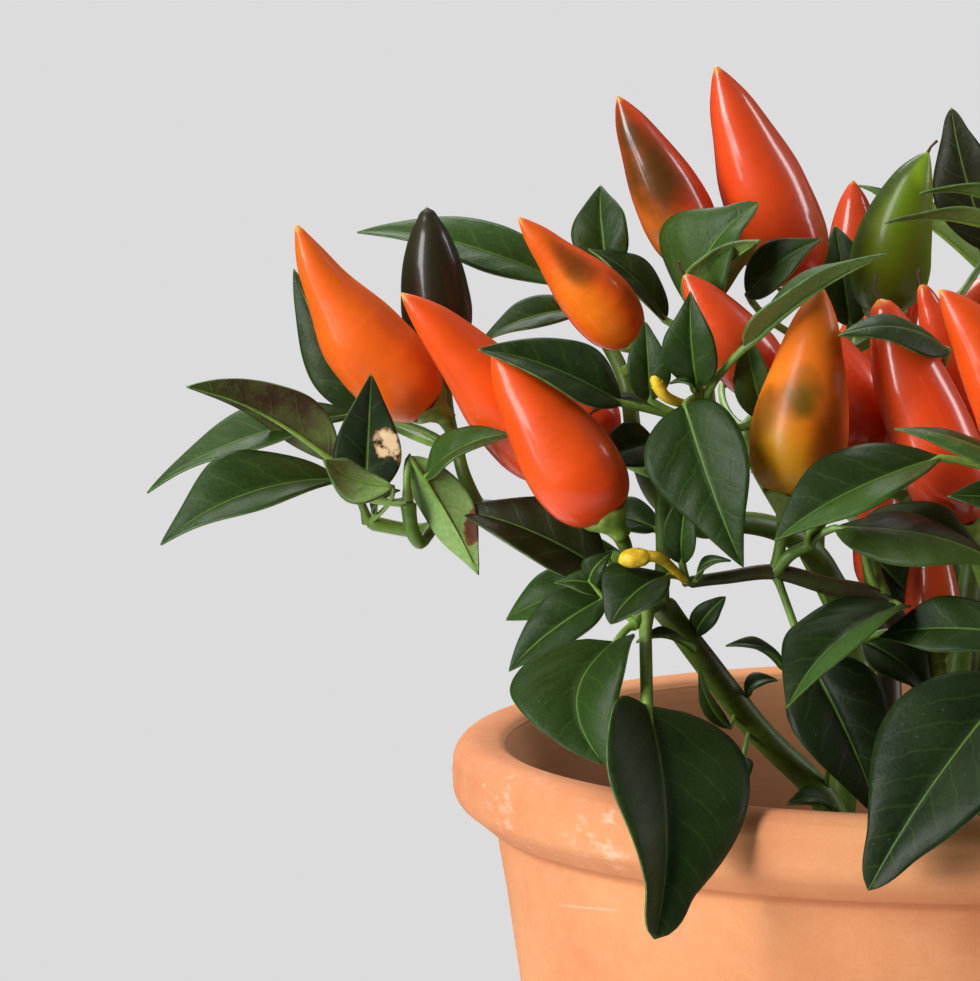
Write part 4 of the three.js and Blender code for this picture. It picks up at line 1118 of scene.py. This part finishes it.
def stalk_strand(one):
    """A leaf's stalk, from its stem to the blade's foot and on as the midrib under the blade"""
    foot = seen(one["foot"])
    start = nearest_on_stems(one["plant"], seen(one["on"]) if one["on"] else foot)
    along = (seen(one["tip"]) - foot).normalized()
    gap = (foot - start).length
    bend = start.lerp(foot, 0.5) - along * (one["sway"] * gap)
    bend.z += 0.06 * gap
    points = bent_line(start, bend, foot, STALK_STEPS)
    thick = STALK_RADIUS * (0.62 if one["small"] else one["stalk"])
    radii = [thick * (1.35 - 0.45 * smooth(0, 0.3, k / STALK_STEPS)) for k in range(STALK_STEPS + 1)]
    for k in range(1, MIDRIB_STEPS + 1):
        middle, _, _, over, _ = midrib_frame(one, 0.9 * k / MIDRIB_STEPS)
        radius = thick * (0.72 - 0.62 * k / MIDRIB_STEPS)
        points.append(middle - over * (0.3 + radius * 0.55))
        radii.append(radius)
    return points, radii


def stem_strand(one):
    route = [seen(point) for point in one["points"]]
    thick, thin = one["radii"]
    if one["name"].endswith("_main"):
        x, y = TRUNKS[one["plant"]]
        route = [Vector((x, y, height)) for height in (TRUNK_FOOT, TRUNK_TOP - 10, TRUNK_TOP - 1)] + route
        thick = TRUNK_RADIUS
    steps = 8 * len(route)
    points = rounded_line(route, steps)
    radii = []
    for k in range(steps + 1):
        share = k / steps
        knot = 0.16 * math.exp(-((share * steps / 3) ** 2))
        knot += 0.12 * math.exp(-(((share - 1) * steps / 3) ** 2))
        radii.append((thick + (thin - thick) * share**0.8) * (1 + knot))
    radii[-1] *= 0.6
    return points, radii


def fruit_line(one, steps=1):
    """A fruit's axis from its foot to its tip, and the way it runs at each"""
    start, end = seen(one["foot"]), seen(one["tip"])
    across, down, depth = one["bow"]
    bend = start.lerp(end, 0.5) + Vector((across, depth, -down)) * 2
    return bent_line(start, bend, end, steps), (bend - start).normalized(), (end - bend).normalized()


def pedicel_strand(one):
    """A fruit's stalk, which thickens toward its cup"""
    line, forward, _ = fruit_line(one)
    top = line[0] - forward * CALYX_GAP
    start = nearest_on_stems(one["plant"], seen(one["on"]) if one["on"] else top)
    length = (top - start).length
    points = bent_line(start, top - forward * (0.5 * length), top, PEDICEL_STEPS)
    shares = [k / PEDICEL_STEPS for k in range(PEDICEL_STEPS + 1)]
    radii = [PEDICEL_RADIUS * (1.2 - 0.2 * smooth(0, 0.2, share) + 0.45 * smooth(0.35, 0.9, share))
             for share in shares]
    return points, radii


def fruit_frame(forward):
    """The directions across a fruit: toward the front view's eye, and to its right"""
    front = Vector((0, -1, 0.13))
    front = (front - forward * front.dot(forward)).normalized()
    return front, forward.cross(front)


def bend_cup(piece, one, luck):
    """The calyx: a low green cup with five blunt teeth that clasps the fruit's foot"""
    line, forward, _ = fruit_line(one)
    front, right = fruit_frame(forward)
    wide = one["radius"]
    rings = ((1.7, -5.4), (1.85, -4.3), (2.15, -3.2), (0.32 * wide, -2.2), (0.42 * wide, -1.3),
             (0.5 * wide, -0.5), (0.55 * wide, 0.3), (0.545 * wide, 0.75), (0.46 * wide, 0.6),
             (0.3 * wide, 0.4))
    phase = luck.uniform(0, 6.3)
    places = []
    for vertex in piece.data.vertices:
        ring = round(vertex.co.z)
        number = min(max(ring, 0), len(rings) - 1)
        radius, height = rings[number]
        if not 0 <= ring < len(rings):
            radius = 0
        angle = math.atan2(vertex.co.y, vertex.co.x)
        tooth = math.cos(5 * angle + phase) * smooth(3, 6, min(number, 13 - number))
        radius *= 1 + 0.05 * tooth + 0.03 * math.sin(2 * angle + phase)
        outward = front * math.cos(angle) + right * math.sin(angle)
        places.append((line[0] + forward * (height + 0.75 * tooth) + outward * radius) * MM)
    place_vertices(piece, places)


def flower_pieces(one, master):
    """A withered flower: a thin bent stalk and the shrunken knob on its end"""
    knob = seen(one["knob"])
    start = nearest_on_stems(one["plant"], seen(one["foot"]))
    points = rounded_line([start, seen(one["bend"]), knob], FLOWER_STEPS)
    radii = [0.75 + 0.05 * k for k in range(FLOWER_STEPS + 1)]
    size = one["size"]
    long_way = (points[-1] - points[-3]).normalized()
    turn = long_way.to_track_quat("Z", "Y").to_matrix().to_4x4()
    piece = copy_of(master, "flower_knob")
    stretch = Matrix.Diagonal((size * MM, size * MM, 1.25 * size * MM, 1))
    piece.data.transform(Matrix.Translation(knob * MM) @ turn @ stretch)
    return (points, radii), piece


class CHILLI_OT_leafy_stems(bpy.types.Operator):
    """Grow each plant: its stems, its leaves, and the stalks and cups that carry its fruits"""
    bl_idname = "chilli.leafy_stems"
    bl_label = "Leafy Stems"

    def execute(self, context):
        plant = context.scene.chilli_look.plant
        skins = (leaf_skin("Leaf upper side", plant, plant.old_leaf, plant.young_leaf, 0xDCC094, 0.8, -1.0,
                           0.47),
                 leaf_skin("Leaf under side", plant, plant.under_leaf, linear(0x7C9A58), 0x5A3422, 0.7, 1.8,
                           0.56),
                 plain_growth("Leaf margin", 0x3C5A20, 0x5A7A34, 2, 0.5))
        stalks = (stem_skin("Old stem", plant.old_stem, plant.purple, 0.45, 0.42),
                  stem_skin("Green stem", plant.green_stem, linear(0x446422), 0.7, 0.4),
                  stem_skin("Leaf stalk", linear(0x76983C), linear(0x4C7028), 0.6, 0.42),
                  plain_growth("Withered flower", 0xF2CC2C, 0xD0A41C, 1.2, 0.42),
                  stem_skin("Brown twig", linear(0x3E2C1E), linear(0x44521F), 0.7, 0.45))
        cup_skin = plain_growth("Calyx", 0x94AE48, 0x688A2E, 2, 0.45)
        masters = {"blade": blade_master("blade", 16, 36), "leaflet": blade_master("leaflet", 8, 16),
                   "cup": drawn_rings("cup", 20, 9), "knob": crumb_master("knob", 3, (1, 0.85, 1.15), 0.05)}
        apply_modifier(masters["knob"], "SUBSURF", levels=1, render_levels=1)
        bpy.ops.object.shade_smooth()
        for repeat in REPEATS:
            for name in repeat["plants"]:
                self.grow(name, repeat, plant.blade, masters, skins, stalks, cup_skin)
        remove(*masters.values())
        return {"FINISHED"}

    def grow(self, name, repeat, thickness, masters, skins, stalks, cup_skin):
        whole = repeat["where"] == "near"
        luck = random.Random(f"{name} {repeat['where']}")

        def mine(one):
            left_out = one.get("name") in repeat["without"] or (one.get("small", False) and not whole)
            return one["plant"] == name and not left_out

        strands = [(*stem_strand(one), one["skin"]) for one in filter(mine, STEMS)]
        leaves = []
        for one in filter(mine, LEAVES):
            piece = copy_of(masters["leaflet" if one["small"] else "blade"], one["name"])
            bend_blade(piece, one, luck)
            leaves.append(piece)
            strands.append((*stalk_strand(one), LEAF_STALK))
        cups = []
        for one in filter(mine, FRUITS):
            piece = copy_of(masters["cup"], "cup_" + one["name"])
            bend_cup(piece, one, luck)
            give(piece, cup_skin)
            cups.append(piece)
            strands.append((*pedicel_strand(one), GREEN))
        for one in FLOWERS:
            if one["plant"] == name and whole:
                strand, knob = flower_pieces(one, masters["knob"])
                strands.append((*strand, WITHERED))
                give(knob, stalks[WITHERED])
                cups.append(knob)
        foliage = joined(leaves, "foliage")
        give(foliage, *skins)
        apply_modifier(foliage, "WELD", merge_threshold=0.005 * MM)
        apply_modifier(foliage, "SOLIDIFY", thickness=thickness, offset=0, material_offset=1,
                       material_offset_rim=2)
        wood = strand_piece("wood", strands, stalks)
        grown = joined([foliage, wood, *cups], f"{name}_plant_{repeat['where']}")
        turn_round(grown, repeat)
        finished(grown, "foliage", f"{name}_stem_{repeat['where']}")


# Fruits
# A fruit's radius, as a share of its widest, along it
FRUIT_STATIONS = ((0, 0.42), (0.012, 0.53), (0.03, 0.63), (0.063, 0.75), (0.11, 0.87), (0.16, 0.945),
                  (0.24, 0.995), (0.31, 1), (0.45, 0.925), (0.57, 0.81), (0.69, 0.665), (0.84, 0.45),
                  (0.937, 0.235), (0.975, 0.125), (0.99, 0.07), (1, 0.04))
FRUIT_RINGS = 44
TIP_ROUND_FROM = 0.84


def bend_chilli(piece, one, luck):
    """Bends a straight chilli to its place, a little out of round and with soft dents"""
    wide = one["radius"]
    line, first, last = fruit_line(one, FRUIT_RINGS)
    phase = luck.uniform(0, 6.3)
    seed = luck.uniform(0, 50)
    frames = []
    for k in range(FRUIT_RINGS + 1):
        share = k / FRUIT_RINGS
        forward = first.lerp(last, share).normalized()
        radius = through(FRUIT_STATIONS, share)
        radius *= 1 - one["slim"] * smooth(0.4, 0.8, share) * (1 - smooth(0.96, 1, share))
        if share > TIP_ROUND_FROM:
            into_tip = (share - TIP_ROUND_FROM) / (1 - TIP_ROUND_FROM)
            radius = max(radius, one["blunt"] * math.sqrt(max(0, 1 - into_tip**2)))
        radius *= wide
        frames.append((line[k], forward, *fruit_frame(forward), radius))
    places, skin_map = [], []
    for vertex in piece.data.vertices:
        ring = round(vertex.co.z)
        number = min(max(ring, 0), FRUIT_RINGS)
        middle, forward, front, right, radius = frames[number]
        share = number / FRUIT_RINGS
        angle = math.atan2(vertex.co.y, vertex.co.x)
        if ring < 0:
            radius = 0
        if ring > FRUIT_RINGS:
            radius, middle = 0, middle + forward * 0.35
        outward = front * math.cos(angle) + right * math.sin(angle)
        place = middle + outward * radius
        lobes = 0.035 * math.cos(3 * angle + phase) * (1 - share)
        dents = 0.45 * noise.noise(place * 0.09 + Vector((seed, 0, 0))) * smooth(0, 0.1, share)
        place += outward * (radius * lobes + dents * radius / wide)
        places.append(place * MM)
        skin_map.append((0.5 + angle / (2 * math.pi), share))
    place_vertices(piece, places)
    write_uv(piece, "skin", skin_map)


def style_strand(one):
    """The dry thread of a style that a fruit keeps on its tip"""
    line, _, last = fruit_line(one)
    tip = line[-1]
    points = [tip - last * 0.6, tip + last * (0.5 * one["style"]),
              tip + last * one["style"] + Vector((0.25 * one["style"], 0, 0.1))]
    return points, (0.42, 0.24, 0.3), 0


class CHILLI_OT_fruits(bpy.types.Operator):
    """Hang the chillies in their cups, each in the colour of its ripeness"""
    bl_idname = "chilli.fruits"
    bl_label = "Chillies"

    def execute(self, context):
        skins = self.skins(context.scene.chilli_look.fruit)
        dry = plain_growth("Dry style", 0x3A2418, 0x5A3A24, 0.5, 0.8)
        master = drawn_rings("chilli", 32, FRUIT_RINGS)
        for repeat in REPEATS:
            for one in FRUITS:
                if one["plant"] not in repeat["plants"] or one["name"] in repeat["without"]:
                    continue
                luck = random.Random(f"{one['name']} {repeat['where']}")
                piece = copy_of(master, "skin_" + one["name"])
                bend_chilli(piece, one, luck)
                give(piece, skins[one["ripeness"]])
                parts = [piece]
                if one["style"] > 0:
                    parts.append(strand_piece("style", [style_strand(one)], [dry]))
                piece = joined(parts, f"{one['name']}_fruit_{repeat['where']}")
                turn_round(piece, repeat)
                finished(piece, "chilli_" + one["ripeness"], f"chilli_{one['name']}_{repeat['where']}")
        remove(master)
        return {"FINISHED"}

    def skins(self, look):
        return {
            "green": chilli_skin("Unripe green chilli", 0.25, look.green, linear(0x4E6A10), linear(0x9AB030),
                                 (linear(0x2A3A12), (0.32, 0.7, 0.13, 0.5, 0.85)),
                                 (linear(0x8CB020), (0.58, 0.92, 0.16, 0.14, 0.8))),
            "dark": chilli_skin("Darkened chilli", 0.6, look.dark, linear(0x2E2A10), linear(0x4A3A20)),
            "turning_brown": chilli_skin("Browning chilli", 1.0, look.red, look.orange, look.tip,
                                         (look.yellow, (0.36, 0.2, 0.14, 0.6, 0.9)),
                                         (look.turning, (0.43, 0.64, 0.24, 0.52, 1.0))),
            "turning_orange": chilli_skin("Orange chilli, half turned", 0.45, look.orange, look.orange,
                                          look.tip, (look.yellow, (0.43, 0.34, 0.16, 0.36, 0.9)),
                                          (look.red_orange, (0.72, 0.45, 0.2, 0.6, 0.9)),
                                          (look.turning, (0.56, 0.6, 0.12, 0.22, 0.85))),
            "turning_green": chilli_skin("Yellow chilli, half turned", 0.12, linear(0xE87414),
                                         linear(0x9A7408), look.tip,
                                         (linear(0xB07C08), (0.4, 0.14, 0.2, 0.34, 0.9)),
                                         (linear(0x5A4A08), (0.48, 0.5, 0.11, 0.15, 0.95)),
                                         (linear(0x7A4A08), (0.34, 0.4, 0.1, 0.17, 0.85)),
                                         (linear(0xA04C08), (0.63, 0.25, 0.12, 0.4, 0.8))),
            "orange": chilli_skin("Orange chilli", 0.25, look.orange, linear(0xF06A1A), look.tip),
            # Toward the foot this skin turns redder, a real colour, and darker, which is painted shade.
            "red_orange": chilli_skin("Red orange chilli", 0.45, look.red_orange, linear(0xD83A08), look.tip),
            "red": chilli_skin("Ripe red chilli", 1.0, look.red, linear(0xD02C0E), look.tip),
        }


# Floor, lights and camera

# The soft lights, in metres: where each stands, its width and its height. All point at AIM.
AIM = (-0.03, 0, 0.2)
LIGHTS = {"key": ((-1.25, -1.05, 0.8), 0.6, 1.7), "low": ((-1.3, -0.8, 0.05), 0.25, 0.7),
          "rim": ((1.35, 0.15, 0.7), 0.35, 1.0), "top": ((-0.3, 0.65, 1.3), 0.9, 0.9)}


def soft_light(name, place, width, height, power):
    data = bpy.data.lights.new(name, "AREA")
    data.shape = "RECTANGLE"
    data.size, data.size_y = width, height
    data.energy = power
    light = bpy.data.objects.new(name, data)
    light.location = place
    light.rotation_euler = (Vector(AIM) - Vector(place)).to_track_quat("-Z", "Y").to_euler()
    bpy.context.collection.objects.link(light)


def backdrop(stage):
    """An even pale grey to look at, which lights the plant weakly and most from above"""
    world = bpy.data.worlds.new("Pale backdrop")
    world.use_nodes = True
    tree = world.node_tree
    tree.nodes.clear()
    way = add(tree, "SeparateXYZ", {0: add(tree, "TexCoord").outputs["Generated"]})
    fill = add(tree, "MapRange", {"Value": way.outputs["Z"], "From Min": -0.3, "From Max": 0.8,
                                  "To Min": stage.fill * 0.35, "To Max": stage.fill},
               interpolation_type=SOFT)
    watched = add(tree, "LightPath").outputs["Is Camera Ray"]
    power = add(tree, "Mix", {"Factor": watched, "A": fill, "B": 1.0}, data_type="FLOAT")
    glow = add(tree, "Background", {"Color": stage.pale, "Strength": power})
    add(tree, "OutputWorld", {"Surface": glow})
    return world


def floor_finish(stage):
    """Pale board that fades into the backdrop well inside its edge"""
    material, tree, here = new_material("Pale board")
    away = add(tree, "VectorMath", {0: here}, operation="LENGTH")
    share = add(tree, "MapRange", {"Value": away.outputs["Value"], "From Min": 0.28,
                                   "From Max": stage.floor_radius - 0.02}, interpolation_type=SOFT)
    board = add(tree, "BsdfDiffuse", {"Color": (0.85, 0.85, 0.85, 1)})
    clear = add(tree, "BsdfTransparent")
    blend = add(tree, "MixShader", {0: share, 1: board, 2: clear})
    add(tree, "OutputMaterial", {"Surface": blend})
    return material


class CHILLI_OT_stage(bpy.types.Operator):
    """Lay the pale floor, set the soft lights and stand the camera at the front view's eye"""
    bl_idname = "chilli.stage"
    bl_label = "Floor, Lights and Camera"

    def execute(self, context):
        stage = context.scene.chilli_look.stage
        context.scene.world = backdrop(stage)
        deselect()
        bpy.ops.mesh.primitive_circle_add(vertices=96, radius=stage.floor_radius, fill_type="NGON")
        floor = context.object
        floor.name = "floor"
        give(floor, floor_finish(stage))
        for name, light in LIGHTS.items():
            soft_light(name, *light, getattr(stage, name))
        data = bpy.data.cameras.new("front_view")
        data.sensor_width = SENSOR_WIDTH
        data.lens = SENSOR_WIDTH * EYE_DISTANCE / VIEW_SIDE
        camera = bpy.data.objects.new("front_view", data)
        camera.location = EYE * MM
        camera.rotation_euler = (math.pi / 2 - EYE_PITCH, 0, 0)
        context.collection.objects.link(camera)
        context.scene.camera = camera
        context.scene.view_settings.view_transform = "Standard"
        return {"FINISHED"}


class CHILLI_PT_panel(bpy.types.Panel):
    """Lists the steps that make the potted plant, and its settings"""
    bl_idname = "CHILLI_PT_panel"
    bl_label = "Potted Chilli Plant"
    bl_space_type = "VIEW_3D"
    bl_region_type = "UI"
    bl_category = "Chilli Plant"

    def draw(self, context):
        look = context.scene.chilli_look
        for step, settings in zip(STEPS, (look.pot, look.soil, look.plant, look.fruit, look.stage)):
            box = self.layout.box()
            box.operator(step.bl_idname)
            for name in settings.__annotations__:
                box.prop(settings, name)


STEPS = (CHILLI_OT_pot, CHILLI_OT_soil, CHILLI_OT_leafy_stems, CHILLI_OT_fruits, CHILLI_OT_stage)
CLASSES = (PotSettings, SoilSettings, PlantSettings, FruitSettings, StageSettings, PlantLook, *STEPS,
           CHILLI_PT_panel)


def register():
    for each in CLASSES:
        bpy.utils.register_class(each)
    bpy.types.Scene.chilli_look = PointerProperty(type=PlantLook)


def unregister():
    del bpy.types.Scene.chilli_look
    for each in reversed(CLASSES):
        bpy.utils.unregister_class(each)


def main():
    register()
    bpy.ops.chilli.pot()
    bpy.ops.chilli.soil()
    bpy.ops.chilli.leafy_stems()
    bpy.ops.chilli.fruits()
    bpy.ops.chilli.stage()
    deselect()


if __name__ == "__main__":
    main()
